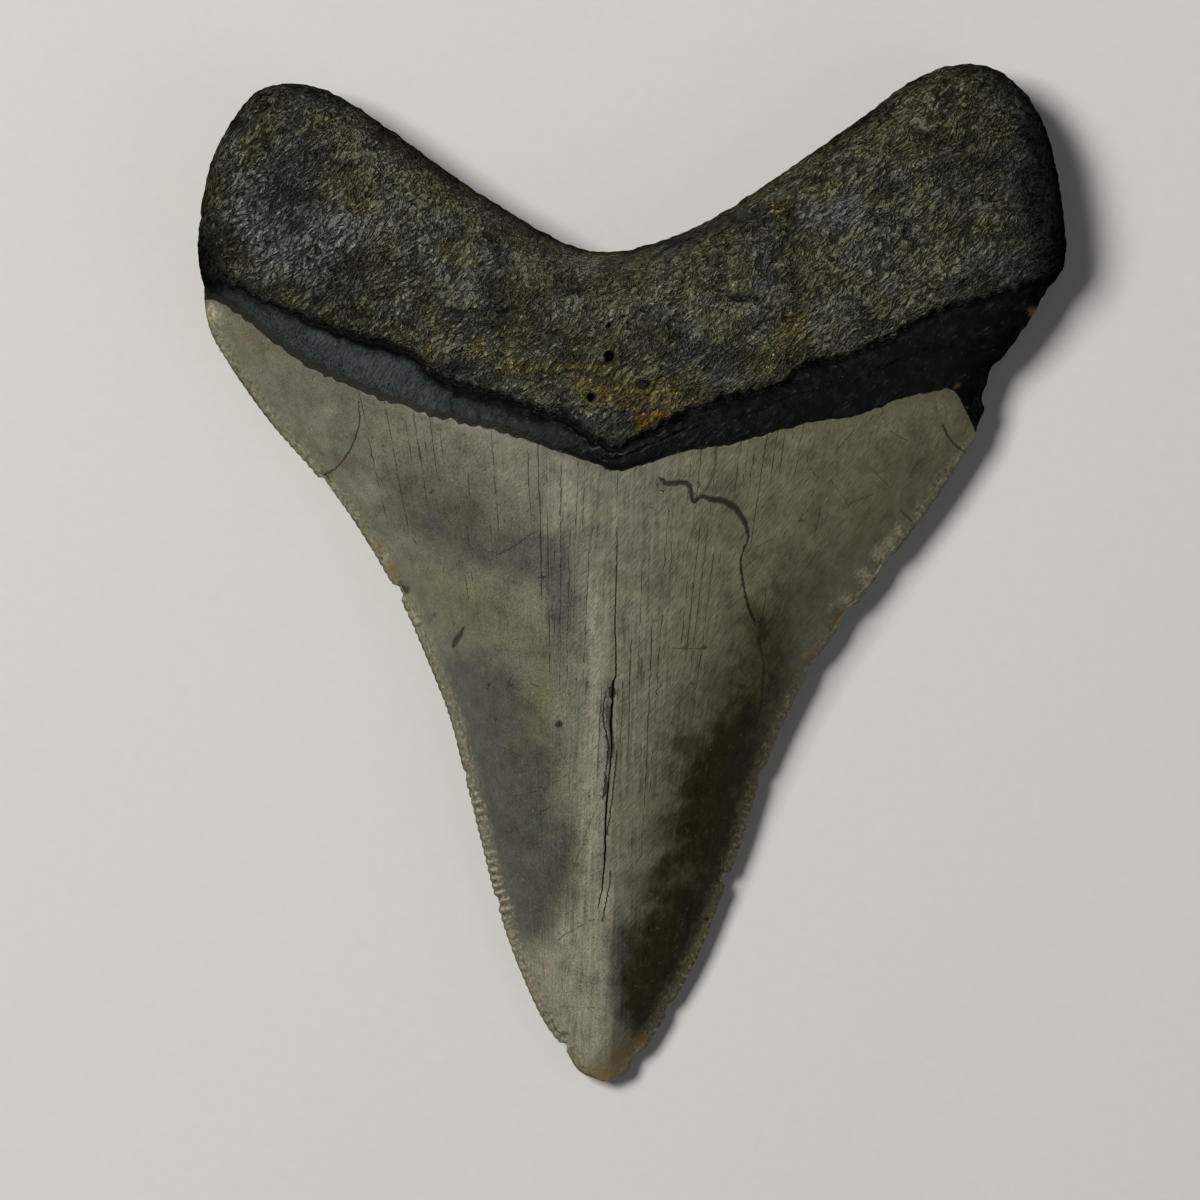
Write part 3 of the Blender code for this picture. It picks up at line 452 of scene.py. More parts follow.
class ToothStage(PropertyGroup):
    """The floor, the lights and the camera."""

    view_x: FloatProperty(
        name="View X", description="Where the camera looks, along X", default=-3.2 * MM, unit="LENGTH")
    view_y: FloatProperty(
        name="View Y", description="Where the camera looks, along Y", default=-2.7 * MM, unit="LENGTH")
    view_height: FloatProperty(
        name="Height in Focus", description="Height over the floor that the frame's width is measured at",
        default=5 * MM, unit="LENGTH")
    frame_width: FloatProperty(
        name="Frame Width", description="Width of the view at that height", default=120 * MM, unit="LENGTH")
    camera_height: FloatProperty(
        name="Camera Height", description="Distance of the camera over the tooth", default=1.2, unit="LENGTH")
    floor_size: FloatProperty(
        name="Floor Size", description="Width of the floor", default=3.0, unit="LENGTH")
    floor_colour: FloatVectorProperty(
        name="Floor", description="Pale floor", subtype="COLOR", size=4, default=(0.62, 0.61, 0.59, 1))
    key_power: FloatProperty(
        name="Key Light", description="Power of the soft light at the upper left", default=10.8, unit="POWER")
    fill_power: FloatProperty(
        name="Fill Light", description="Power of the soft light at the right", default=1.2, unit="POWER")
    sky: FloatProperty(
        name="Sky", description="Strength of the even light from all sides", default=0.06, min=0.0)


def smooth_curve(points):
    """A dense polyline through the points: a Catmull-Rom curve with its ends held."""
    p = np.array(points, float)
    p = np.vstack([2 * p[0] - p[1], p, 2 * p[-1] - p[-2]])
    t = np.linspace(0, 1, CURVE_STEPS, endpoint=False)[:, None]
    a, b, c, d = p[:-3, None], p[1:-2, None], p[2:-1, None], p[3:, None]
    curve = 0.5 * (2 * b + (c - a) * t + (2 * a - 5 * b + 4 * c - d) * t**2 + (3 * b - a - 3 * c + d) * t**3)
    return np.vstack([curve.reshape(-1, 2), p[-2]])


def along(curve, shares):
    """Points of a polyline at these shares of its length."""
    steps = np.hypot(*np.diff(curve, axis=0).T)
    length = np.concatenate([[0], np.cumsum(steps)]) / steps.sum()
    return np.stack([np.interp(shares, length, curve[:, k]) for k in (0, 1)], axis=-1)


def smoothstep(low, high, value):
    """0 up to low, 1 from high on, and 3t^2 - 2t^3 between them."""
    t = np.clip((value - low) / (high - low), 0, 1)
    return t * t * (3 - 2 * t)


def nearest_on(points, curve):
    """For each point: its distance to a polyline, how far along it the nearest place lies, the segment."""
    start, step = curve[:-1], np.diff(curve, axis=0)
    length = np.hypot(*step.T)
    before = np.concatenate([[0], np.cumsum(length)[:-1]])
    found = []
    for part in np.array_split(points, max(1, len(points) // 4000)):
        reach_x, reach_y = part[:, :1] - start[:, 0], part[:, 1:] - start[:, 1]
        share = np.clip((reach_x * step[:, 0] + reach_y * step[:, 1]) / length**2, 0, 1)
        gap = (reach_x - share * step[:, 0]) ** 2 + (reach_y - share * step[:, 1]) ** 2
        best = gap.argmin(1)
        picked = np.arange(len(part)), best
        found.append(np.stack([np.sqrt(gap[picked]), before[best] + share[picked] * length[best], best]))
    distance, place, segment = np.concatenate(found, axis=1)
    return distance, place, segment.astype(int)


def noise(x, y, seed):
    """Gradient noise, about -1 to 1: random slopes at whole-number points, blended by quintic steps."""
    slopes = np.random.default_rng(seed).uniform(0, 2 * math.pi, (256, 256))
    column, row = np.floor(x).astype(int), np.floor(y).astype(int)
    u, v = x - column, y - row
    blend_u, blend_v = (t**3 * (t * (6 * t - 15) + 10) for t in (u, v))

    def corner(right, up):
        slope = slopes[(row + up) % 256, (column + right) % 256]
        return np.cos(slope) * (u - right) + np.sin(slope) * (v - up)

    low = corner(0, 0) * (1 - blend_u) + corner(1, 0) * blend_u
    high = corner(0, 1) * (1 - blend_u) + corner(1, 1) * blend_u
    return 1.5 * (low * (1 - blend_v) + high * blend_v)


def strokes(x, y, angle, width, length, seed):
    """Noise drawn out into strokes of this width and length, at this angle from +X."""
    run = x * math.cos(angle) + y * math.sin(angle)
    side = y * math.cos(angle) - x * math.sin(angle)
    return noise(run / length, side / width, seed)


def pits(x, y, spacing, radius, seed):
    """Round hollows from 0 to 1 deep, at most one in each square of a grid, each with its own size."""
    rng = np.random.default_rng(seed)
    offset_x, offset_y = rng.uniform(0.15, 0.85, (2, 256, 256))
    size = radius * rng.uniform(0, 1, (256, 256)) ** 1.5
    column, row = np.floor(x / spacing).astype(int), np.floor(y / spacing).astype(int)
    deepest = np.zeros_like(x)
    for right in (-1, 0, 1):
        for up in (-1, 0, 1):
            cell = (row + up) % 256, (column + right) % 256
            centre_x = (column + right + offset_x[cell]) * spacing
            centre_y = (row + up + offset_y[cell]) * spacing
            distance = np.hypot(x - centre_x, y - centre_y)
            inside = 1 - smoothstep(0.5, 1.1, distance / np.maximum(size[cell], 0.04))
            depth = (size[cell] / radius) * inside
            deepest = np.maximum(deepest, depth)
    return deepest


def spots(x, y, places):
    """The sum of soft oval spots: strength times exp(-(x offset / width)^2 - (y offset / height)^2)."""
    return sum(
        strength * np.exp(-(((x - at_x) / wide) ** 2) - ((y - at_y) / high) ** 2)
        for at_x, at_y, wide, high, strength in places
    )


def ragged(points, coarse, fine, steps, seed):
    """A margin with uneven teeth: noise with cusps, fine noise, and saw-like steps that fall to the right."""
    share = np.linspace(0, 1, MARGIN_POINTS)
    curve = along(smooth_curve(points), share)
    x = curve[:, 0]
    wave = coarse * (0.35 - np.abs(noise(x / 1.5, x * 0 + seed, seed)) * 1.3)
    wave += fine * noise(x / 0.7, x * 0 + seed, seed + 1)
    saw = (x / 2.4 + 1.1 * noise(x / 3, x * 0 + seed, seed + 2)) % 1
    wave += steps * (smoothstep(0, 0.72, saw) - smoothstep(0.72, 1, saw) - 0.4) * smoothstep(-6, -14, x)
    curve[:, 1] += wave * smoothstep(0, 0.02, share) * smoothstep(1, 0.97, share)
    return curve


def across_margin(curve, across):
    """Points of a V-shaped margin, with its lowest point at the middle column."""
    steps = np.hypot(*np.diff(curve, axis=0).T)
    apex = steps[: curve[:, 1].argmin()].sum() / steps.sum()
    return along(curve, np.interp(across, [0, 0.5, 1], [0, apex, 1]))


def coons_patch(top, bottom, left, right, across, down):
    """A plan grid between two margins and two sides, which meet at its corners."""
    s, t = across[None, :, None], down[:, None, None]
    sides = (1 - s) * along(left, down)[:, None] + s * along(right, down)[:, None]
    corners = (1 - s) * ((1 - t) * top[0] + t * bottom[0]) + s * ((1 - t) * top[-1] + t * bottom[-1])
    return (1 - t) * top + t * bottom + sides - corners


def blade_patch(margin, left, right, across, down):
    """A plan grid of rows that span the blade, bent like its upper margin at first and straight later."""
    s, t = across[None, :, None], down[:, None, None]
    bend = margin - ((1 - across[:, None]) * margin[0] + across[:, None] * margin[-1])
    return (1 - s) * along(left, down)[:, None] + s * along(right, down)[:, None] + (1 - t) ** 2 * bend


def crowded(count, crowding):
    """Shares from 0 to 1, closer together at both ends."""
    even = np.linspace(0, 1, count)
    return (1 - crowding) * even + crowding * (1 - np.cos(math.pi * even)) / 2


def outline():
    """The closed outline of the tooth seen from above, counter-clockwise from the left lobe."""
    down = [smooth_curve(c) for c in (ROOT_LEFT, SHOULDER_LEFT, BLADE_LEFT)]
    up = [smooth_curve(c)[::-1] for c in (BLADE_RIGHT, SHOULDER_RIGHT, ROOT_RIGHT, ROOT_TOP)]
    return np.vstack([down[0][:1]] + [curve[1:] for curve in down + up])


class Plan:
    """The plan of the tooth: its grid, its margins, and what they say about any point seen from above."""

    def __init__(self, shape):
        self.outline = outline()
        self.root_margin = ragged(ROOT_MARGIN, 0.5, 0.2, 0.0, 11)
        self.enamel_margin = ragged(ENAMEL_MARGIN, 0.24, 0.11, 0.3, 23)
        self.centre = (self.outline.max(axis=0) + self.outline.min(axis=0)) / 2
        step = np.diff(self.outline, axis=0)
        self.inward = np.stack([-step[:, 1], step[:, 0]], axis=1) / np.hypot(*step.T)[:, None]
        sides = [ROOT_LEFT, SHOULDER_LEFT, BLADE_LEFT, BLADE_RIGHT, SHOULDER_RIGHT]
        lengths = [np.hypot(*np.diff(smooth_curve(c), axis=0).T).sum() for c in sides]
        self.edge_start = lengths[0] + lengths[1]
        self.tip_place = self.edge_start + lengths[2]
        self.edge_end = self.tip_place + lengths[3]
        thin = 1.0
        half = crowded(int(shape.columns * thin / 2) + 1, 0.45) / 2
        self.across = np.concatenate([half, 0.5 + half[1:]])
        self.rows = [
            crowded(int(shape.rows * thin * share) + 2, crowding)
            for share, crowding in ((0.27, 0.5), (0.08, 0.4), (0.65, 0.12))
        ]
        self.rows[1] = self.rows[1][1:]
        self.rows[2] = self.rows[2][1:-1]

    def grid(self):
        """Plan position of every grid point but the tip, and its band: up to 1 root, 2 dark band, 3 blade."""
        top = across_margin(smooth_curve(ROOT_TOP), self.across)
        low = across_margin(self.root_margin, self.across)
        enamel = across_margin(self.enamel_margin, self.across)
        left = [smooth_curve(c) for c in (ROOT_LEFT, SHOULDER_LEFT, BLADE_LEFT)]
        right = [smooth_curve(c) for c in (ROOT_RIGHT, SHOULDER_RIGHT, BLADE_RIGHT)]
        root = coons_patch(top, low, left[0], right[0], self.across, self.rows[0])
        band = coons_patch(low, enamel, left[1], right[1], self.across, self.rows[1])
        blade = blade_patch(enamel, left[2], right[2], self.across, self.rows[2])
        level = np.concatenate([rows + k for k, rows in enumerate(self.rows)])
        return np.vstack([root, band, blade]), np.repeat(level[:, None], len(self.across), axis=1)

    def beside_crest(self, x, y):
        """How far from the blade's ridge to the cutting edge a point lies, from 0 to 1."""
        left, right = smooth_curve(LEFT_SIDE), smooth_curve(RIGHT_SIDE)
        reach_left = BLADE_CREST_X - np.interp(y, left[::-1, 1], left[::-1, 0])
        reach_right = np.interp(y, right[::-1, 1], right[::-1, 0]) - BLADE_CREST_X
        away = x - BLADE_CREST_X
        return np.clip(np.where(away < 0, -away / reach_left, away / reach_right), 0, 1)

    def above(self, x, y, margin):
        """Distance to a margin, above zero on the root's side."""
        distance, _, _ = nearest_on(np.stack([x, y], axis=-1).reshape(-1, 2), margin)
        order = np.interp(x, margin[:, 0], margin[:, 1])
        return distance.reshape(x.shape) * np.where(y >= order, 1, -1)

    def serration(self, place, shape):
        """Which serration a place along the edge is on, whole numbers on the crowns, and how fresh it is."""
        count = place / (shape.serration_pitch / MM) + 0.22 * noise(place / 2.7, place * 0 + 0.5, 31)
        worn = np.interp(place - self.tip_place, SERRATION_PLACES, SERRATION_WEAR)
        fresh = worn * (0.45 + 0.55 * smoothstep(-0.45, 0.2, noise(place / 4.0, place * 0 + 2.5, 32)))
        ends = smoothstep(0, 3, place - self.edge_start) * smoothstep(0, 2, self.edge_end - place)
        ends *= smoothstep(2.0, 6, np.abs(place - self.tip_place))
        return count, fresh * ends


def crown(count):
    """Height of a serration: 1 on whole numbers, 0 half-way between, rounded on top with a narrow notch."""
    return (0.5 + 0.5 * np.cos(2 * math.pi * count)) ** 0.7


def rim_height(y):
    """Height at which the two faces meet: it falls from the root to the tip."""
    blade = TIP_RIM_HEIGHT + (SHOULDER_RIM_HEIGHT - TIP_RIM_HEIGHT) * smoothstep(-52, 22, y)
    return blade + (ROOT_RIM_HEIGHT - blade) * smoothstep(16, 36, y)


def plates(x, y, angle, width, length, seed):
    """Raised strokes from 0 to 1 with narrow valleys, which run where drawn-out noise crosses zero."""
    return np.minimum(2.6 * np.abs(strokes(x, y, angle, width, length, seed)), 1) ** 0.8


def root_relief(x, y, shape):
    """The root's skin: strokes of two sizes over low humps, flatter to the right and swirled by noise."""
    angle, width = shape.wrinkle_angle, shape.wrinkle_width / MM
    x, y = x + 0.9 * noise(x / 4.5, y / 4.5, 38), y + 0.9 * noise(x / 4.5, y / 4.5, 39)
    steep, flat = (plates(x, y, angle + turn, width, long * width, 41 + k)
                   for k, (turn, long) in enumerate(((0.1, 2.2), (-0.3, 3.0))))
    choice = smoothstep(-0.4, 0.4, noise(x / 6, y / 6, 43) + x / 40)
    coarse = steep * (1 - choice) + flat * choice
    fine = plates(x, y, angle + 0.2, 0.55 * width, 1.3 * width, 44)
    humps = noise(x / 2.4, y / 2.4, 45) + 0.5 * noise(x / 1.1, y / 1.1, 46)
    return 0.6 * coarse + 0.35 * fine + 0.42 * humps - 0.35


def lingual_height(plan, x, y, level, edge, shape):
    """Height of the upper face. The root rises from its rim as a quarter ellipse, the blade as a lens."""
    rim = rim_height(y)
    side = plan.above(x, y, plan.root_margin)
    enamel_side = -plan.above(x, y, plan.enamel_margin)
    root_crest = LOBE_CREST + (ROOT_CREST - LOBE_CREST) * np.exp(-((x / CREST_SPREAD) ** 2)) - LEDGE_HEIGHT
    root_crest -= MARGIN_FALL * (1 - smoothstep(0, MARGIN_FALL_WIDTH, side))
    waves = sum(np.sin(2 * math.pi * (x / run + y / rise) + start) for run, rise, start in LUMPS)
    root_crest += LUMP_HEIGHT * waves * smoothstep(0, 4, side)
    near_rim = 1 - np.clip(edge / LINGUAL_ROUNDING, 0, 1)
    blade_crest = np.interp(y, BLADE_CREST_Y, BLADE_CREST_Z)
    sharpness = 1.45 + 0.85 * smoothstep(-45, -5, y)
    lens_rise = (1 - plan.beside_crest(x, y) ** sharpness) * (1 - 0.45 * np.exp(-((edge / BEVEL_WIDTH) ** 2)))
    blade = smoothstep(0.6, 2.2, level)
    height = (1 - blade) * (root_crest - rim) * np.sqrt(1 - near_rim**2)
    height = height + blade * (blade_crest - rim) * lens_rise
    uneven = side + 0.25 * noise(x / 0.9, y / 0.9, 48)
    ledge = LEDGE_HEIGHT * smoothstep(-0.2 * LEDGE_WIDTH, 0.8 * LEDGE_WIDTH, uneven)
    share = np.interp(x, CREVICE_X, CREVICE_SHARE) * (1 + 0.5 * noise(x / 1.4, y / 1.4, 49))
    crevice = CREVICE_DEPTH * share * np.exp(-(((side - 0.1) / (CREVICE_WIDTH * (0.4 + 0.5 * share))) ** 2))
    inside = smoothstep(0, 3, edge)
    height = rim + height + (ledge - crevice) * inside
    step = shape.enamel_thickness / MM * smoothstep(0, ENAMEL_STEP_WIDTH, enamel_side)
    step = step * smoothstep(0, 2, edge)
    return height + step + lingual_relief(x, y, side, enamel_side, edge, shape)


def lingual_relief(x, y, side, enamel_side, edge, shape):
    """Fine relief of the upper face: the root's wrinkles and pits, the band's fibres, the enamel's crack."""
    calm = smoothstep(0, 1.2, edge)
    root = smoothstep(-0.15, 0.35, side) * smoothstep(0, 0.6, edge)
    skin = shape.wrinkle_height / MM * root_relief(x, y, shape)
    skin -= 0.35 * pits(x, y, shape.pit_spacing / MM, 0.34, 51) + 0.15
    skin -= 0.35 * spots(x, y, DARK_ROOT[4:18])
    for at_x, at_y, radius, depth in FORAMINA:
        skin -= depth * (1 - smoothstep(0.55 * radius, 1.05 * radius, np.hypot(x - at_x, y - at_y)))
    width = np.maximum(-side - enamel_side, 0.4)
    bulge = 4 * np.clip(side * enamel_side / width**2, 0, 0.25)
    band = smoothstep(0, 0.4, -side) * smoothstep(0, 0.3, -enamel_side)
    fibres = 0.06 * strokes(x, y, math.radians(62), 0.3, 1.6, 61) + 0.05 * noise(x / 0.7, y / 0.7, 62)
    broken = smoothstep(24, 34, x) * 0.22 * strokes(x, y, math.radians(38), 0.8, 3.0, 63)
    enamel = smoothstep(0, 0.4, enamel_side) * calm
    undulation = 0.05 * noise(x / 3.5, y / 6, 71) + 0.018 * strokes(x, y, math.radians(50), 0.4, 1.6, 72)
    offset, half_width = main_crack(x, y)
    groove = smoothstep(1.25, 0.25, np.abs(offset) / np.maximum(half_width, 0.01)) * (half_width > 0)
    wander = 0.2 * noise(x / 0.7, y / 0.7, 74)
    hollows = sum(
        depth * smoothstep(1.15, 0.75, np.hypot(x - at_x, y - at_y) / radius + wander)
        for at_x, at_y, radius, depth in FLAKES
    )
    relief = root * skin + band * (0.3 * bulge + fibres + broken)
    relief += enamel * (undulation - shape.crack_depth / MM * np.minimum(half_width / 0.12, 1) * groove)
    return relief - hollows * smoothstep(0, 0.4, edge)


def main_crack(x, y):
    """Signed distance along X to the long crack, and its half width there."""
    crack = np.array(MAIN_CRACK)[::-1]
    crack_x = np.interp(y, crack[:, 1], crack[:, 0]) + 0.05 * noise(y / 0.9, y * 0, 73)
    half_width = np.interp(y, crack[:, 1], MAIN_CRACK_HALF_WIDTH[::-1], left=0.0, right=0.0)
    return x - crack_x, half_width


def marks(x, y):
    """Signed distance to the nearest mark on the enamel, its half width there (0 off it), its darkness."""
    points = np.stack([x, y], axis=-1)
    offset, half_width, darkness = np.full(len(x), 5.0), np.zeros(len(x)), np.zeros(len(x))
    flecks = [([(at_x - 1.2 * r, at_y - 0.3 * r), (at_x + 1.2 * r, at_y + 0.3 * r)], r, dark)
              for at_x, at_y, r, dark in FLECKS]
    for path, widths, dark in MARKS + flecks:
        curve = smooth_curve(path)
        reach = MARK_REACH + np.max(widths)
        far = reach + FAR_BESIDE
        near = np.flatnonzero(
            (points > curve.min(axis=0) - far).all(axis=1) & (points < curve.max(axis=0) + far).all(axis=1))
        if not len(near):
            continue
        distance, place, segment = nearest_on(points[near], curve)
        step, away = np.diff(curve, axis=0), points[near] - curve[segment]
        side = np.where(step[segment, 0] * away[:, 1] > step[segment, 1] * away[:, 0], 1, -1)
        length = np.concatenate([[0], np.cumsum(np.hypot(*step.T))])
        wide = np.interp(place, length[::CURVE_STEPS], np.broadcast_to(widths, len(path)))
        wide *= smoothstep(0, 0.25, place) * smoothstep(0, 0.25, length[-1] - place) * (distance < reach)
        closer = (distance < np.abs(offset[near])) & (distance < far)
        taken = near[closer]
        offset[taken], half_width[taken], darkness[taken] = (side * distance)[closer], wide[closer], dark
    return offset, half_width, darkness


def hair_cracks(x, y):
    """Number of the hair crack to the left plus the share of the way to the next, the gap, the half width."""
    top = np.arange(HAIR_TOP_X[0], HAIR_TOP_X[-1], HAIR_SPACING)
    rng = np.random.default_rng(77)
    top = top + rng.uniform(-0.22, 0.22, len(top))
    clear = {int(np.abs(top - at).argmin()): (at, *rest) for at, *rest in CLEAR_HAIRS}
    for number, (at, *_) in clear.items():
        top[number] = at
    low = np.interp(top, HAIR_TOP_X, HAIR_LOW_X)
    first = np.where(rng.uniform(0, 1, len(top)) < 0.6, 18, rng.uniform(-16, 12, len(top)))
    last = np.minimum(first, 11) - np.where(
        np.abs(top + 1) < 10, rng.uniform(5, 26, len(top)), rng.uniform(3, 10, len(top)))
    half = rng.uniform(0.035, 0.06, len(top)) * (rng.uniform(0, 1, len(top)) < 0.85)
    for number, (_, start, end, half_width) in clear.items():
        first[number], last[number], half[number] = start, end, half_width
    numbers = np.arange(len(top))[:, None]
    down = (HAIR_TOP_Y - y) / (HAIR_TOP_Y - HAIR_LOW_Y)
    bent = noise(np.broadcast_to(y / 4.0, (len(top), len(y))), numbers * 3.7 + 0.5, 75)
    places = top[:, None] + down * (low - top)[:, None] + 0.07 * bent
    places = np.maximum.accumulate(places + 0.2 * numbers, axis=0) - 0.2 * numbers
    left = np.clip((places <= x).sum(axis=0) - 1, 0, len(top) - 2)
    columns = np.arange(len(x))
    start, end = places[left, columns], places[left + 1, columns]
    gap = np.maximum(end - start, 0.1)
    share = np.clip((x - start) / gap, -0.5, 1.5)
    nearest = np.clip(np.round(left + share).astype(int), 0, len(top) - 1)
    fade = smoothstep(0, 2.5, first[nearest] - y) * smoothstep(0, 3.5, y - last[nearest])
    fade = np.where(first[nearest] > 16, smoothstep(0, 3.5, y - last[nearest]), fade)
    fade *= 0.55 + 0.45 * smoothstep(-0.4, 0.2, noise(y / 2.2, nearest * 5.3, 76))
    return left + share, gap, half[nearest] * fade


def labial_height(plan, x, y, level, edge, shape):
    """Height of the lower face: an arch with three worn spots that the tooth lies on."""
    rim = rim_height(y)
    near_rim = 1 - np.clip(edge / LABIAL_ROUNDING, 0, 1)
    lens_drop = 1 - plan.beside_crest(x, y) ** 2.4
    blade = smoothstep(0.6, 2.2, level)
    drop = (1 - blade) * np.sqrt(1 - near_rim**2) + blade * lens_drop
    floor = np.full_like(x, LABIAL_ARCH)
    for spot_x, spot_y, radius in REST_SPOTS:
        reach = ((x - spot_x) ** 2 + (y - spot_y) ** 2) / radius**2
        floor -= (LABIAL_ARCH + REST_SINK) * np.exp(-reach)
    over = y - labial_margin(x)
    floor += shape.enamel_thickness / MM * smoothstep(-0.3, 0.3, over)
    calm = smoothstep(0, 1.5, edge)
    skin = 0.6 * shape.wrinkle_height / MM * root_relief(x, y + 60, shape)
    skin += -0.25 * pits(x, y + 60, 1.7, 0.3, 52)
    folds = 0.09 * noise(x / 0.8, y / 9, 81) * smoothstep(-11, -1, over)
    root = smoothstep(0.1, 0.9, over)
    return np.maximum(rim - (rim - floor) * drop - calm * (root * skin + (1 - root) * folds), 0)


def labial_margin(x):
    """The enamel's ragged upper limit on the labial face, as Y over X."""
    margin = np.interp(x, LABIAL_MARGIN_X, LABIAL_MARGIN_Y)
    return margin + 0.35 * noise(x / 1.7, x * 0, 82) + 0.6 * noise(x / 7, x * 0, 83)


def worn_outline(plan, points, edge, place, segment, shape):
    """Moves the plan inwards near the outline: serrations, chips and an uneven root, fading into the face."""
    count, fresh = plan.serration(place, shape)
    notch = shape.serration_depth / MM * (1 - crown(count)) * fresh * np.exp(-edge / 0.45)
    chips = np.zeros_like(edge)
    for x, y, half_width, depth in EDGE_CHIPS:
        _, chip_place, _ = nearest_on(np.array([[x, y]]), plan.outline)
        chips += depth * np.exp(-(((place - chip_place) / half_width) ** 4))
    _, break_place, _ = nearest_on(np.array([[-31.3, 9.4]]), plan.outline)
    past = place - break_place
    chips += 0.45 * smoothstep(-0.15, 0.15, past) * np.exp(-np.maximum(past, 0) / 3.0)
    on_root = smoothstep(1, -1, place - plan.edge_start) + smoothstep(0, 2, place - plan.edge_end)
    uneven = 0.14 + 0.12 * noise(place / 1.4, place * 0, 91) + 0.07 * noise(place / 0.6, place * 0, 92)
    uneven = on_root * uneven
    inwards = notch + (chips + uneven) * np.exp(-edge / 0.9)
    return points + plan.inward[segment] * inwards[:, None]


def tooth_surface(plan, shape):
    """The closed surface as points and faces: height over plan for both faces, sharing the outline."""
    grid, level = plan.grid()
    rows, columns = level.shape
    flat = grid.reshape(-1, 2)
    edge, place, segment = nearest_on(flat, plan.outline)
    count, fresh = (a.reshape(level.shape) for a in plan.serration(place, shape))
    worn = worn_outline(plan, flat, edge, place, segment, shape).reshape(grid.shape)
    edge = edge.reshape(level.shape)
    x, y = grid[..., 0], grid[..., 1]
    ridges = fresh * (crown(count) - 0.5) * np.exp(-((edge / (shape.serration_reach / MM)) ** 2))
    upper = lingual_height(plan, x, y, level, edge, shape) + 0.17 * ridges
    lower = labial_height(plan, x, y, level, edge, shape) - 0.16 * ridges
    rim = np.zeros(level.shape, bool)
    rim[0] = rim[:, [0, -1]] = True
    upper[rim] = rim_height(y[rim])
    upper_index = np.arange(rows * columns).reshape(rows, columns)
    lower_index = upper_index.copy()
    lower_index[~rim] = rows * columns + np.arange((~rim).sum())
    tip = np.array([[*BLADE_LEFT[-1], TIP_RIM_HEIGHT]])
    lower_points = np.dstack([worn, np.maximum(lower, 0)])[~rim]
    points = np.vstack([np.dstack([worn, upper]).reshape(-1, 3), lower_points, tip])
    quads, fan = grid_faces(upper_index, len(points) - 1)
    low_quads, low_fan = grid_faces(lower_index, len(points) - 1)
    return points, np.vstack([quads, low_quads[:, ::-1]]), np.vstack([fan, low_fan[:, ::-1]])


def grid_faces(index, tip):
    """Quads over a grid of point numbers, and a fan from its last row to the tip."""
    quads = np.stack([index[1:, :-1], index[1:, 1:], index[:-1, 1:], index[:-1, :-1]], axis=-1)
    fan = np.stack([np.full(index.shape[1] - 1, tip), index[-1, 1:], index[-1, :-1]], axis=-1)
    return quads.reshape(-1, 4), fan


def place_in_frame(points, plan):
    """Millimetres of the plan to metres of the frame: the plan's middle goes to the middle of the CAD box."""
    low, high = (np.array(corner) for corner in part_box(TOOTH_NODE))
    moved = points * MM
    moved[:, :2] += (low + high)[:2] / 2 - plan.centre * MM
    moved[:, 2] = np.clip(moved[:, 2], low[2], high[2])
    return moved


def mesh_from_arrays(name, points, quads, triangles):
    """A mesh from arrays of points, four-sided and three-sided faces."""
    mesh = bpy.data.meshes.new(name)
    corners = np.concatenate([quads.ravel(), triangles.ravel()])
    starts = np.concatenate([np.arange(len(quads)) * 4, quads.size + np.arange(len(triangles)) * 3])
    mesh.vertices.add(len(points))
    mesh.vertices.foreach_set("co", points.astype(np.float32).ravel())
    mesh.loops.add(len(corners))
    mesh.loops.foreach_set("vertex_index", corners.astype(np.int32))
    mesh.polygons.add(len(starts))
    mesh.polygons.foreach_set("loop_start", starts.astype(np.int32))
    mesh.update(calc_edges=True)
    mesh.validate()
    return mesh


def thinned(obj, triangles, kept):
    """Collapses the shortest edges of flat places until this many triangles are left; some points stay."""
    mesh = obj.data
    mesh.calc_loop_triangles()
    count = len(mesh.loop_triangles)
    if count <= triangles:
        return
    group = obj.vertex_groups.new(name="thin")
    group.add(np.flatnonzero(~kept).tolist(), 1.0, "REPLACE")
    thin = obj.modifiers.new("thin", "DECIMATE")
    thin.ratio = triangles / count
    thin.vertex_group = group.name
    depsgraph = bpy.context.evaluated_depsgraph_get()
    obj.data = bpy.data.meshes.new_from_object(obj.evaluated_get(depsgraph))
    obj.modifiers.clear()
    obj.vertex_groups.clear()
    obj.data.name = obj.name
    bpy.data.meshes.remove(mesh)


def near_marks(points):
    """Which points of the upper face lie beside a mark or the long crack."""
    x, y, z = points.T
    _, mark_width, _ = marks(x, y)
    crack_offset, crack_width = main_crack(x, y)
    beside = (mark_width > 0) | ((np.abs(crack_offset) < 0.35) & (crack_width > 0))
    return beside & (z > rim_height(y) + 0.1)


def write_attribute(mesh, name, values):
    """Stores one number for each vertex."""
    mesh.attributes.new(name, "FLOAT", "POINT").data.foreach_set("value", values.astype(np.float32))


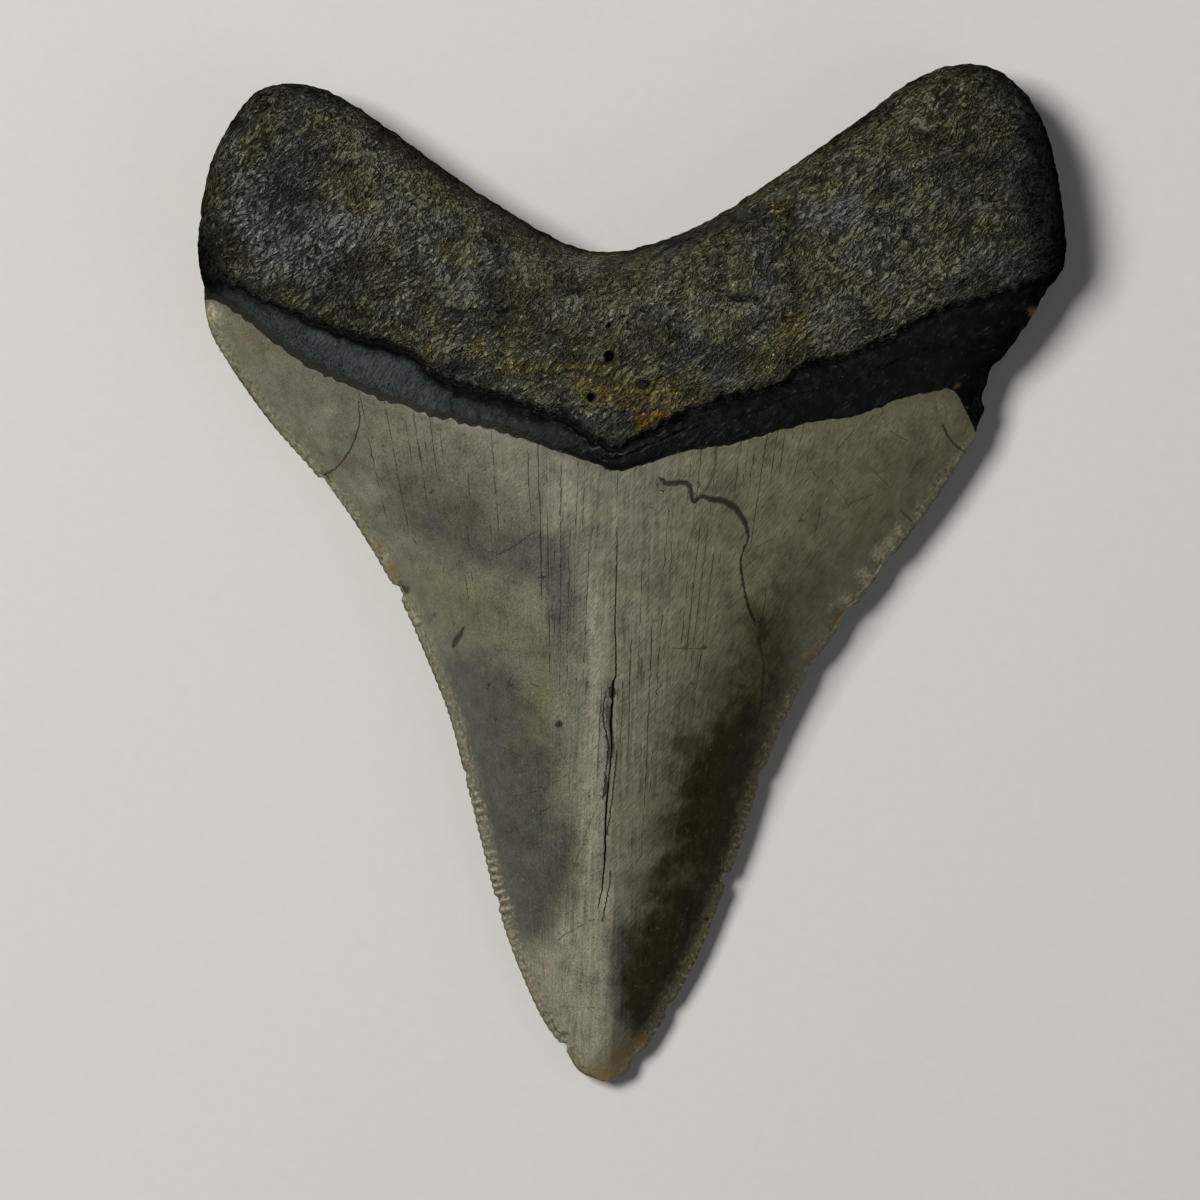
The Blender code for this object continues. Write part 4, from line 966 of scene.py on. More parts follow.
def paint_attributes(obj, plan, shape):
    """Stores what the materials read: distances to the margins in millimetres, and soft fields of stain."""
    mesh = obj.data
    points = np.empty(len(mesh.vertices) * 3, np.float32)
    mesh.vertices.foreach_get("co", points)
    points = points.reshape(-1, 3).astype(float)
    low, high = (np.array(corner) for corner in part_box(TOOTH_NODE))
    flat = (points[:, :2] - (low + high)[:2] / 2) / MM + plan.centre
    x, y, z = flat[:, 0], flat[:, 1], points[:, 2] / MM
    edge, place, _ = nearest_on(flat, plan.outline)
    count, fresh = plan.serration(place, shape)
    hair_phase, hair_gap, hair_width = hair_cracks(x, y)
    crack_offset, crack_width = main_crack(x, y)
    mark_offset, mark_width, mark_dark = marks(x, y)
    labial = smoothstep(0.1, -0.1, z - rim_height(y))
    over = y - labial_margin(x)
    fields = {
        "root_side": plan.above(x, y, plan.root_margin) * (1 - labial) + over * labial,
        "enamel_side": -plan.above(x, y, plan.enamel_margin) * (1 - labial) - over * labial,
        "edge": edge,
        "labial": labial,
        "crevice": 0.25 + 0.45 * np.interp(x, CREVICE_X, CREVICE_SHARE),
        "serration": count,
        "fresh": fresh,
        "hair_phase": hair_phase,
        "hair_gap": hair_gap,
        "hair_width": hair_width * (1 - labial),
        "crack_offset": crack_offset,
        "crack_width": crack_width * (1 - labial),
        "mark_offset": mark_offset,
        "mark_width": mark_width * (1 - labial),
        "mark_dark": mark_dark,
        "cutting_edge": smoothstep(0, 2, place - plan.edge_start) * smoothstep(0, 2, plan.edge_end - place),
        "relief": root_relief(x, y + 60 * labial, shape),
        "ochre": spots(x, y, OCHRE_STAINS) * (1 - labial),
        "bright_ochre": spots(x, y, BRIGHT_OCHRE) * (1 - labial),
        "dark_root": spots(x, y, DARK_ROOT),
        "blue_root": spots(x, y, BLUE_ROOT),
        "cool": spots(x, y, COOL_CLOUDS),
        "yellow": spots(x, y, YELLOW_CLOUDS),
        "dark": 1.15 * (1 - np.exp(-0.9 * spots(x, y, DARK_STAIN_AND_SHADE_CLOUDS))) * (1 - 0.7 * labial),
        "pale": spots(x, y, PALE_AND_HIGHLIGHT_CLOUDS),
        "tip": spots(x, y, TIP_STAINS),
        "worn": spots(x, y, WORN_AND_GLINTING_FACETS) * (1 - labial),
        "dirt": spots(x, y, DIRT_SPOTS) * (1 - labial),
    }
    for name, values in fields.items():
        write_attribute(mesh, name, values)


# Colours of small things, which have no setting of their own. The glints, the band's sheen, the serrations'
# highlights and shade, and the black of the crevice, the pits and the hollows are painted light and shade.
GLINT_GOLD = (0.5, 0.43, 0.22, 1)
ROOT_BLACK = (0.003, 0.004, 0.003, 1)
PIT_BLACK = (0.003, 0.003, 0.002, 1)
CREVICE_SHADE = (0.002, 0.002, 0.002, 1)
BAND_SHEEN_PATCH = (0.010, 0.012, 0.012, 1)
BAND_FOOT = (0.028, 0.027, 0.021, 1)
BAND_STREAK = (0.055, 0.06, 0.058, 1)
BAND_THREAD = (0.12, 0.13, 0.12, 1)
BAND_GLINT = (0.12, 0.13, 0.13, 1)
ENAMEL_WARM = (0.128, 0.113, 0.072, 1)
ENAMEL_GREEN = (0.100, 0.103, 0.078, 1)
RIGHT_SIDE_TINT = (1.0, 0.985, 0.8, 1)
EDGE_STRIP = (0.17, 0.155, 0.1, 1)
SERRATION_HIGHLIGHT = (0.36, 0.33, 0.25, 1)
NOTCH_SHADE = (0.045, 0.038, 0.022, 1)
CRUMB_GLINT = (0.33, 0.30, 0.22, 1)
CRUMB_SHADE = (0.045, 0.036, 0.022, 1)
RIM_DARK = (0.06, 0.05, 0.032, 1)
EDGE_BROWN = (0.12, 0.075, 0.028, 1)
EDGE_LINE = (0.13, 0.12, 0.075, 1)
MARGIN_GLINT = (0.42, 0.4, 0.33, 1)
PORE_DARK = (0.04, 0.037, 0.026, 1)


class Nodes:
    """Adds nodes to a tree. An input that is given a socket is linked, and any other value is set."""

    def __init__(self, tree):
        self.tree = tree

    def add(self, kind, inputs=None, **settings):
        node = self.tree.nodes.new(kind)
        for name, value in settings.items():
            setattr(node, name, value)
        for name, value in (inputs or {}).items():
            if isinstance(value, bpy.types.NodeSocket):
                self.tree.links.new(value, node.inputs[name])
            else:
                node.inputs[name].default_value = value
        node.location = (200 * (len(self.tree.nodes) % 12), -200 * (len(self.tree.nodes) // 12))
        return node

    def math(self, operation, *values):
        return self.add("ShaderNodeMath", dict(enumerate(values)), operation=operation).outputs[0]

    def times(self, first, second):
        return self.math("MULTIPLY", first, second)

    def times_plus(self, first, second, third):
        """The first times the second, plus the third."""
        return self.math("MULTIPLY_ADD", first, second, third)

    def vector(self, operation, *values):
        node = self.add("ShaderNodeVectorMath", dict(enumerate(values)), operation=operation)
        return node.outputs["Vector"]

    def between(self, value, low, high, start=0.0, end=1.0):
        """A smooth step of the value from low to high, put out as start to end."""
        inputs = {"Value": value, "From Min": low, "From Max": high, "To Min": start, "To Max": end}
        return self.add("ShaderNodeMapRange", inputs, interpolation_type="SMOOTHSTEP").outputs["Result"]

    def mix(self, share, first, second, blend="MIX"):
        inputs = {0: share, 6: first, 7: second}
        return self.add("ShaderNodeMix", inputs, data_type="RGBA", blend_type=blend).outputs[2]

    def noise(self, vector, scale, detail=2.0, rough=0.5):
        inputs = {"Vector": vector, "Scale": scale, "Detail": detail, "Roughness": rough}
        return self.add("ShaderNodeTexNoise", inputs).outputs["Fac"]

    def attribute(self, name):
        return self.add("ShaderNodeAttribute", attribute_name=name).outputs["Fac"]

    def mixed_value(self, share, first, second):
        """The first value where the share is 0, the second where it is 1."""
        return self.add("ShaderNodeMix", {0: share, 2: first, 3: second}, data_type="FLOAT").outputs[0]

    def axis(self, vector, name):
        return self.add("ShaderNodeSeparateXYZ", {"Vector": vector}).outputs[name]

    def use(self, tree, inputs):
        """Places a node group and gives it its inputs."""
        return self.add("ShaderNodeGroup", inputs, node_tree=tree).outputs

    def cloud(self, tree, point, field, spread, scale):
        """A soft field with its outline broken up."""
        return self.use(tree, {"Point": point, "Field": field, "Spread": spread, "Scale": scale})["Mask"]

    def dots(self, tree, point, spacing, size, share):
        """Dots of this size at about this spacing, in this share of the places."""
        return self.use(tree, {"Point": point, "Spacing": spacing, "Size": size, "Share": share})["Mask"]

    def strokes(self, tree, point, angle, width, length):
        """Strokes in one direction, with all outputs of the group."""
        return self.use(tree, {"Point": point, "Angle": angle, "Width": width, "Length": length})

    def put_out(self, sockets, **values):
        """Links the values to the outputs of this group."""
        for name, value in values.items():
            self.tree.links.new(value, sockets[name])


def new_group(name, inputs, outputs):
    """An empty node group with these sockets: name and kind, or name, kind and default."""
    tree = bpy.data.node_groups.new(name, "ShaderNodeTree")
    for socket, kind, *default in inputs:
        made = tree.interface.new_socket(socket, in_out="INPUT", socket_type="NodeSocket" + kind)
        if default:
            made.default_value = default[0]
    for socket, kind in outputs:
        tree.interface.new_socket(socket, in_out="OUTPUT", socket_type="NodeSocket" + kind)
    nodes = Nodes(tree)
    return nodes, tree.nodes.new("NodeGroupInput").outputs, tree.nodes.new("NodeGroupOutput").inputs, tree


def strokes_group():
    """Noise drawn out into strokes: the point is turned by the angle and divided by the length and width."""
    nodes, given, out, tree = new_group(
        "Strokes",
        [("Point", "Vector"), ("Angle", "Float", 0.8), ("Width", "Float", 0.3), ("Length", "Float", 1.0)],
        [("Value", "Float")])
    back = nodes.times(given["Angle"], -1.0)
    inputs = {"Vector": given["Point"], "Angle": back}
    turned = nodes.add("ShaderNodeVectorRotate", inputs, rotation_type="Z_AXIS").outputs[0]
    size = nodes.add(
        "ShaderNodeCombineXYZ", {"X": given["Length"], "Y": given["Width"], "Z": given["Width"]}).outputs[0]
    value = nodes.noise(nodes.vector("DIVIDE", turned, size), 1.0, 2.0, 0.55)
    nodes.put_out(out, Value=value)
    return tree


def dots_group():
    """Scattered dots: the centres of some cells of a Voronoi pattern."""
    nodes, given, out, tree = new_group(
        "Dots",
        [("Point", "Vector"), ("Spacing", "Float", 1.0), ("Size", "Float", 0.15), ("Share", "Float", 0.5)],
        [("Mask", "Float")])
    cells = nodes.add(
        "ShaderNodeTexVoronoi",
        {"Vector": nodes.vector("DIVIDE", given["Point"], given["Spacing"]), "Scale": 1.0})
    picked = nodes.add("ShaderNodeSeparateColor", {"Color": cells.outputs["Color"]}).outputs
    size = nodes.math("DIVIDE", given["Size"], given["Spacing"])
    size = nodes.times(size, nodes.between(picked["Green"], 0.0, 1.0, 0.4, 1.2))
    dot = nodes.between(nodes.math("DIVIDE", cells.outputs["Distance"], size), 1.1, 0.6)
    kept = nodes.math("LESS_THAN", picked["Red"], given["Share"])
    nodes.put_out(out, Mask=nodes.times(dot, kept))
    return tree


def cloud_edge_group():
    """Breaks up a soft field with noise, so that a stain has a natural outline."""
    nodes, given, out, tree = new_group(
        "Cloud Edge",
        [("Point", "Vector"), ("Field", "Float"), ("Spread", "Float", 0.5), ("Scale", "Float", 0.5)],
        [("Mask", "Float")])
    wander = nodes.math("SUBTRACT", nodes.noise(given["Point"], given["Scale"], 4.0, 0.6), 0.5)
    shifted = nodes.times_plus(wander, given["Spread"], given["Field"])
    nodes.put_out(out, Mask=nodes.between(shifted, 0.12, 0.95))
    return tree


def soft_line(nodes, offset, half_width):
    """1 on a line and 0 beside it, from the distance to it and its half width (0 where none is)."""
    share = nodes.math("DIVIDE", nodes.math("ABSOLUTE", offset), nodes.math("MAXIMUM", half_width, 0.004))
    return nodes.times(nodes.between(share, 1.55, 0.45), nodes.between(half_width, 0.006, 0.03))


def valleys_group(strokes_tree):
    """Raised strokes: their rounded height, and the thin dark lines where the noise crosses 0.5."""
    nodes, given, out, tree = new_group(
        "Valleys",
        [("Point", "Vector"), ("Angle", "Float", 0.8), ("Width", "Float", 0.3), ("Length", "Float", 1.0)],
        [("Value", "Float"), ("Line", "Float")])
    drawn = nodes.strokes(
        strokes_tree, given["Point"], given["Angle"], given["Width"], given["Length"])["Value"]
    away = nodes.math("ABSOLUTE", nodes.math("SUBTRACT", drawn, 0.5))
    nodes.put_out(out, Value=nodes.between(away, 0.0, 0.13))
    nodes.put_out(out, Line=nodes.between(away, 0.004, 0.042))
    return tree


def root_finish(valleys, dots, cloud):
    """Rough dentine: grey and olive strokes over valleys darkened by painted shade, iron stains, painted
    glints, and pits painted black as shade.
    """
    nodes, given, out, tree = new_group(
        "Root Finish",
        [("Point", "Vector"), ("Relief", "Float"), ("Ochre", "Float"), ("Bright", "Float"), ("Dark", "Float"),
         ("Blue", "Float"), ("Edge", "Float"), ("Margin", "Float"), ("Colour", "Color"),
         ("Hollow Colour", "Color"), ("Tint Colour", "Color"), ("Blue Colour", "Color"),
         ("Ochre Colour", "Color"), ("Bright Colour", "Color")],
        [("Colour", "Color"), ("Roughness", "Float"), ("Height", "Float")])
    point = given["Point"]
    swirl = nodes.add("ShaderNodeTexNoise", {"Vector": point, "Scale": 0.35, "Detail": 2.0}).outputs["Color"]
    swirl = nodes.vector("SUBTRACT", swirl, (0.5, 0.5, 0.5))
    swirled = nodes.vector("MULTIPLY_ADD", swirl, (1.5, 1.5, 1.0), point)
    large = nodes.strokes(valleys, swirled, 0.8, 0.62, 1.9)
    small = nodes.strokes(valleys, swirled, 0.95, 0.32, 0.75)
    grain = nodes.noise(point, 3.0, 2.0, 0.5)
    patch = nodes.noise(point, 0.17, 5.0, 0.62)
    across = nodes.math("ABSOLUTE", nodes.axis(point, "X"))
    share = nodes.between(across, 8.0, 24.0, 0.75, 1.0)
    # Painted shade: the mix toward the valley colour darkens the valleys between the strokes, the low places
    # of the relief, and the root towards its ledge, its outline and its outer ends; the patch and grain noise
    # add random tone.
    light = nodes.times_plus(large["Value"], 0.85, 0.35)
    light = nodes.times(light, nodes.times_plus(large["Line"], 0.75, 0.25))
    light = nodes.mixed_value(share, 0.72, light)
    light = nodes.times(light, nodes.times_plus(small["Value"], 0.72, 0.4))
    light = nodes.times(light, nodes.between(given["Relief"], -0.35, 0.5, 0.3, 1.15))
    light = nodes.times(light, nodes.between(patch, 0.36, 0.64, 0.45, 1.5))
    light = nodes.times(light, nodes.between(grain, 0.36, 0.6, 0.7, 1.2))
    light = nodes.times(light, nodes.between(given["Margin"], 0.1, 1.5, 0.45, 1.0))
    light = nodes.times(light, nodes.between(given["Edge"], 0.0, 3.0, 0.4, 1.0))
    light = nodes.times(light, nodes.between(across, 20.0, 38.0, 1.0, 0.7))
    tint = nodes.between(nodes.noise(point, 0.22, 4.0, 0.62), 0.38, 0.6, 0.1, 0.95)
    blue = nodes.cloud(cloud, point, given["Blue"], 0.9, 0.6)
    colour = nodes.mix(tint, given["Colour"], given["Tint Colour"])
    colour = nodes.mix(nodes.times(blue, 0.85), colour, given["Blue Colour"])
    stain = nodes.cloud(cloud, point, given["Ochre"], 1.0, 1.0)
    colour = nodes.mix(nodes.times(stain, 0.85), colour, given["Ochre Colour"])
    bright = nodes.cloud(cloud, point, given["Bright"], 1.2, 1.6)
    colour = nodes.mix(bright, colour, given["Bright Colour"])
    colour = nodes.mix(light, given["Hollow Colour"], colour)
    # Painted highlights: gold glints scattered over the root, thicker over its iron stains.
    glints = nodes.dots(dots, point, 1.1, 0.1, 0.12)
    ochre_glints = nodes.dots(dots, point, 0.6, 0.15, 0.4)
    ochre_glints = nodes.times(ochre_glints, nodes.between(given["Ochre"], 0.4, 0.95))
    glints = nodes.math("MAXIMUM", nodes.times(glints, light), ochre_glints)
    colour = nodes.mix(nodes.times(glints, 0.8), colour, GLINT_GOLD)
    # Black in the root's dark patches; in its pits and hollows this black is painted shade.
    dark = nodes.cloud(cloud, point, given["Dark"], 0.6, 0.8)
    colour = nodes.mix(nodes.times(dark, 0.93), colour, ROOT_BLACK)
    # Painted shade: small scattered pits painted black, also dipped by the bump.
    holes = nodes.dots(dots, swirled, 1.7, 0.22, 0.3)
    colour = nodes.mix(nodes.times(holes, 0.9), colour, PIT_BLACK)
    height = nodes.times(large["Value"], 0.34)
    height = nodes.times_plus(small["Value"], 0.16, height)
    height = nodes.times_plus(grain, 0.1, height)
    height = nodes.times_plus(holes, -0.2, height)
    rough = nodes.between(grain, 0.3, 0.7, 0.3, 0.5)
    nodes.put_out(out, Colour=colour, Roughness=rough, Height=height)
    return tree


def band_finish(strokes_tree, dots, cloud):
    """The bourlette: near black, with a painted blue-grey sheen on its lit left half and fine fibres across
    it.
    """
    nodes, given, out, tree = new_group(
        "Band Finish",
        [("Point", "Vector"), ("Root Side", "Float"), ("Enamel Side", "Float"), ("Ochre", "Float"),
         ("Colour", "Color"), ("Sheen Colour", "Color"), ("Ochre Colour", "Color")],
        [("Colour", "Color"), ("Roughness", "Float"), ("Height", "Float")])
    point = given["Point"]
    across = nodes.axis(point, "X")
    fibres = nodes.strokes(strokes_tree, point, 1.1, 0.16, 0.9)["Value"]
    streaks = nodes.strokes(strokes_tree, point, 0.62, 0.3, 1.8)["Value"]
    patches = nodes.noise(point, 0.7, 4.0, 0.65)
    middle = nodes.between(across, -3.0, -14.0, 0.0, 0.6)
    left = nodes.math("MAXIMUM", nodes.between(across, -15.0, -21.0), middle)
    fade = nodes.between(across, -43.0, -37.0, 0.35, 1.0)
    wide = nodes.times(nodes.between(across, -20.0, -17.0), nodes.between(across, -5.0, -9.0))
    upper = nodes.times_plus(wide, 0.65, given["Root Side"])
    middle = nodes.times(nodes.between(upper, -0.25, -1.1), nodes.between(given["Enamel Side"], -0.3, -0.8))
    # Painted sheen: the band's left half, which faces the light, is brightened toward the sheen colour.
    painted_sheen = nodes.times(nodes.times(left, fade), middle)
    painted_sheen = nodes.times(painted_sheen, nodes.between(fibres, 0.34, 0.64, 0.25, 1.1))
    painted_sheen = nodes.times(painted_sheen, nodes.between(patches, 0.3, 0.6, 0.55, 1.0))
    # Painted sheen: blue-grey patches over the near-black band.
    colour = nodes.mix(nodes.between(patches, 0.45, 0.62, 0.0, 0.5), given["Colour"], BAND_SHEEN_PATCH)
    colour = nodes.mix(painted_sheen, colour, given["Sheen Colour"])
    low = nodes.times(nodes.between(given["Enamel Side"], -0.7, -0.35), left)
    colour = nodes.mix(nodes.times(low, 0.8), colour, BAND_FOOT)
    pale = nodes.times(nodes.between(streaks, 0.58, 0.7), nodes.between(patches, 0.48, 0.6))
    colour = nodes.mix(nodes.times(pale, 0.45), colour, BAND_STREAK)
    centre = nodes.times(nodes.between(across, -9.0, -4.0), nodes.between(across, 9.0, 4.0))
    for depth, share in ((-0.5, 0.4), (-1.25, 0.22)):
        shifted = nodes.times_plus(nodes.math("SUBTRACT", patches, 0.5), 0.6, given["Root Side"])
        away = nodes.math("ABSOLUTE", nodes.math("SUBTRACT", shifted, depth))
        thread = nodes.between(away, 0.1, 0.02, 0.0, share)
        thread = nodes.times(thread, nodes.between(streaks, 0.45, 0.6))
        colour = nodes.mix(nodes.times(thread, centre), colour, BAND_THREAD)
    # Painted highlights: small pale glints scattered over the band.
    specks = nodes.dots(dots, point, 0.8, 0.09, 0.14)
    colour = nodes.mix(nodes.times(specks, 0.7), colour, BAND_GLINT)
    stain = nodes.cloud(cloud, point, given["Ochre"], 0.8, 1.2)
    stain = nodes.times(stain, nodes.between(fibres, 0.3, 0.6))
    colour = nodes.mix(stain, colour, given["Ochre Colour"])
    height = nodes.times_plus(streaks, 0.12, nodes.times(fibres, 0.07))
    height = nodes.times_plus(patches, 0.2, height)
    rough = nodes.between(fibres, 0.3, 0.7, 0.42, 0.6)
    nodes.put_out(out, Colour=colour, Roughness=rough, Height=height)
    return tree


def enamel_finish(strokes_tree, valleys, dots, cloud):
    """Polished enamel: clouds of colour, slanting streaks, lengthwise hair cracks and the named marks, with
    painted highlights on the ridge, the serrations, the long crack's right edge, the cutting edges and the
    upper margin, and painted shade on the blade's right flank and between the serrations.
    """
    fields = ("Cool", "Yellow", "Dark", "Pale", "Tip", "Worn", "Dirt")
    distances = ("Edge", "Enamel Side", "Serration", "Fresh", "Cutting Edge", "Hair Phase", "Hair Gap",
                 "Hair Width", "Crack Offset", "Crack Width", "Mark Offset", "Mark Width", "Mark Dark")
    nodes, given, out, tree = new_group(
        "Enamel Finish",
        [("Point", "Vector"), ("Colour", "Color"), ("Crack Colour", "Color")]
        + [(name, "Float") for name in distances + fields] + [(f"{name} Colour", "Color") for name in fields],
        [("Colour", "Color"), ("Roughness", "Float"), ("Shine", "Float"), ("Height", "Float")])
    point = given["Point"]
    drift = nodes.noise(point, 0.14, 5.0, 0.6)
    colour = nodes.mix(nodes.between(drift, 0.48, 0.66, 0.0, 0.8), given["Colour"], ENAMEL_WARM)
    colour = nodes.mix(nodes.between(drift, 0.5, 0.34, 0.0, 0.8), colour, ENAMEL_GREEN)
    # The dark clouds are partly stain and partly painted shade of the blade's right flank; the pale clouds
    # are partly pale enamel and partly a painted highlight on the ridge and the lit left flank.
    for name, scale, spread, strength in (
            ("Cool", 0.35, 0.8, 0.85), ("Yellow", 0.4, 0.7, 0.9),
            ("Pale", 0.6, 0.8, 0.85), ("Dark", 0.38, 1.2, 0.97)):
        mask = nodes.cloud(cloud, point, given[name], spread, scale)
        colour = nodes.mix(nodes.times(mask, strength), colour, given[f"{name} Colour"])
    rightward = nodes.between(nodes.axis(point, "X"), -2.0, 14.0)
    colour = nodes.mix(rightward, colour, RIGHT_SIDE_TINT, "MULTIPLY")
    streaks = nodes.strokes(strokes_tree, point, 0.85, 0.15, 0.8)["Value"]
    mottle = nodes.noise(point, 0.4, 6.0, 0.66)
    lengthwise = nodes.add("ShaderNodeCombineXYZ", {
        "X": nodes.times(given["Hair Phase"], 2.6),
        "Y": nodes.times(nodes.axis(point, "Y"), 0.13),
    }).outputs[0]
    lengthwise = nodes.noise(lengthwise, 1.0, 3.0, 0.6)
    scrape = nodes.strokes(strokes_tree, point, 0.95, 0.09, 1.6)["Value"]
    shade = nodes.times_plus(nodes.math("SUBTRACT", streaks, 0.5), 0.95, 1.0)
    shade = nodes.times_plus(nodes.math("SUBTRACT", scrape, 0.5), 1.3, shade)
    beside = nodes.math("ABSOLUTE", nodes.axis(point, "X"))
    beside = nodes.between(beside, 5.0, 12.0, 1.6, 0.55)
    shade = nodes.times_plus(nodes.math("SUBTRACT", lengthwise, 0.5), beside, shade)
    shade = nodes.times_plus(nodes.math("SUBTRACT", mottle, 0.5), 1.7, shade)
    shade = nodes.add("ShaderNodeCombineColor", {"Red": shade, "Green": shade, "Blue": shade}).outputs[0]
    colour = nodes.mix(1.0, colour, shade, "MULTIPLY")

    away = nodes.math("SUBTRACT", given["Hair Phase"], nodes.math("ROUND", given["Hair Phase"]))
    hair = soft_line(nodes, nodes.times(away, given["Hair Gap"]), given["Hair Width"])
    wander = nodes.math("SUBTRACT", nodes.noise(point, 2.4, 3.0, 0.6), 0.5)
    offset = nodes.times_plus(wander, 0.42, given["Mark Offset"])
    mark = nodes.times(soft_line(nodes, offset, given["Mark Width"]), given["Mark Dark"])
    offset = nodes.times_plus(wander, 0.16, given["Crack Offset"])
    opened = soft_line(nodes, offset, given["Crack Width"])
    lines = nodes.math("MAXIMUM", nodes.times(hair, 0.72), mark)
    scratch = nodes.strokes(valleys, point, 0.9, 0.8, 5.0)["Line"]
    scratched = nodes.between(mottle, 0.5, 0.6, 0.0, 0.5)
    scratched = nodes.times(scratched, nodes.between(lengthwise, 0.45, 0.6))
    scratch = nodes.times(nodes.math("SUBTRACT", 1.0, scratch), scratched)
    lines = nodes.math("MAXIMUM", lines, scratch)
    # Painted highlight: the right edge of the long crack, which faces the light, is painted pale.
    from_lip = nodes.math("ABSOLUTE", nodes.math("SUBTRACT", given["Crack Offset"], 0.35))
    lip = nodes.times(nodes.between(from_lip, 0.4, 0.1), nodes.between(given["Crack Width"], 0.03, 0.09))
    colour = nodes.mix(nodes.times(lip, 0.4), colour, given["Pale Colour"])

    edge_noise = nodes.noise(point, 1.1, 3.0, 0.6)
    strip = nodes.between(nodes.times_plus(edge_noise, -1.7, given["Edge"]), 1.0, -0.35)
    strip = nodes.times(strip, given["Cutting Edge"])
    shaded = nodes.between(given["Dark"], 0.15, 0.8)
    strip = nodes.times(strip, nodes.times_plus(shaded, -0.4, 1.0))
    colour = nodes.mix(nodes.times(strip, 0.75), colour, EDGE_STRIP)
    # Painted highlight and shade: the serrations' crests are painted pale and the notches between them dark;
    # the ridge also raises the bump.
    ridge = nodes.math("COSINE", nodes.times(given["Serration"], 2 * math.pi))
    ridge = nodes.times(ridge, nodes.times(given["Fresh"], strip))
    colour = nodes.mix(nodes.between(ridge, 0.15, 0.9, 0.0, 0.8), colour, SERRATION_HIGHLIGHT)
    colour = nodes.mix(nodes.between(ridge, -0.2, -0.9, 0.0, 0.7), colour, NOTCH_SHADE)
    # Painted glints and shade: pale bits and dark gaps scattered along the cutting edges.
    crumbled = nodes.noise(point, 2.6, 2.0)
    for low, high, strength, crumb_light in ((0.54, 0.66, 0.6, CRUMB_GLINT), (0.43, 0.34, 0.7, CRUMB_SHADE)):
        share = nodes.times(nodes.between(crumbled, low, high, 0.0, strength), strip)
        colour = nodes.mix(share, colour, crumb_light)
    outer = nodes.times(nodes.between(given["Edge"], 0.32, 0.05, 0.0, 0.6), given["Cutting Edge"])
    colour = nodes.mix(outer, colour, RIM_DARK)
    brown = nodes.between(nodes.noise(point, 0.8, 3.0, 0.65), 0.55, 0.68, 0.0, 0.8)
    brown = nodes.times(brown, nodes.between(given["Edge"], 1.1, 0.2))
    colour = nodes.mix(nodes.times(brown, given["Cutting Edge"]), colour, EDGE_BROWN)
    thin = nodes.between(given["Edge"], 0.45, 0.15, 0.0, 0.6)
    thin = nodes.times(thin, nodes.between(edge_noise, 0.4, 0.55))
    colour = nodes.mix(nodes.times(thin, given["Cutting Edge"]), colour, EDGE_LINE)
    # Partly painted highlights: the worn and flaked places of the cutting edges are painted bright.
    facets = nodes.cloud(cloud, point, given["Worn"], 1.6, 1.7)
    facets = nodes.times(facets, nodes.between(crumbled, 0.38, 0.56, 0.35, 1.0))
    colour = nodes.mix(nodes.times(facets, 0.85), colour, given["Worn Colour"])
    tip = nodes.cloud(cloud, point, given["Tip"], 0.6, 0.8)
    colour = nodes.mix(nodes.times(tip, 0.85), colour, given["Tip Colour"])
    # Painted highlights: pale glints along the upper margin of the enamel.
    margin_strip = nodes.between(given["Enamel Side"], 0.25, 0.05)
    glint = nodes.between(nodes.noise(point, 2.2, 2.0), 0.57, 0.7)
    glint = nodes.times(margin_strip, glint)
    colour = nodes.mix(nodes.times(glint, 0.8), colour, MARGIN_GLINT)
    stained = nodes.between(given["Enamel Side"], 1.2, 0.0)
    stained = nodes.times(stained, nodes.between(mottle, 0.4, 0.6, 0.0, 0.5))
    colour = nodes.mix(stained, colour, given["Cool Colour"])

    pores = nodes.dots(dots, point, 0.55, 0.12, 0.42)
    porous = nodes.times(pores, nodes.between(given["Pale"], 0.3, 0.9, 0.05, 0.7))
    specks = nodes.dots(dots, point, 2.3, 0.15, 0.35)
    small_marks = nodes.math("MAXIMUM", porous, nodes.times(specks, 0.55))
    colour = nodes.mix(nodes.times(small_marks, 0.75), colour, PORE_DARK)
    dirt = nodes.cloud(cloud, point, given["Dirt"], 1.0, 1.8)
    colour = nodes.mix(nodes.times(dirt, 0.85), colour, given["Dirt Colour"])
    colour = nodes.mix(lines, colour, given["Crack Colour"])
    colour = nodes.mix(opened, colour, given["Crack Colour"])
    height = nodes.times_plus(streaks, 0.04, nodes.times(mottle, 0.06))
    height = nodes.times_plus(scrape, 0.03, height)
    height = nodes.times_plus(lines, -0.05, height)
    height = nodes.times_plus(opened, -0.12, height)
    height = nodes.times_plus(small_marks, -0.05, height)
    height = nodes.times_plus(ridge, 0.05, height)
    rough = nodes.between(streaks, 0.3, 0.7, 0.36, 0.5)
    shine = nodes.times_plus(shaded, -0.17, 0.2)
    nodes.put_out(out, Colour=colour, Roughness=rough, Shine=shine, Height=height)
    return tree


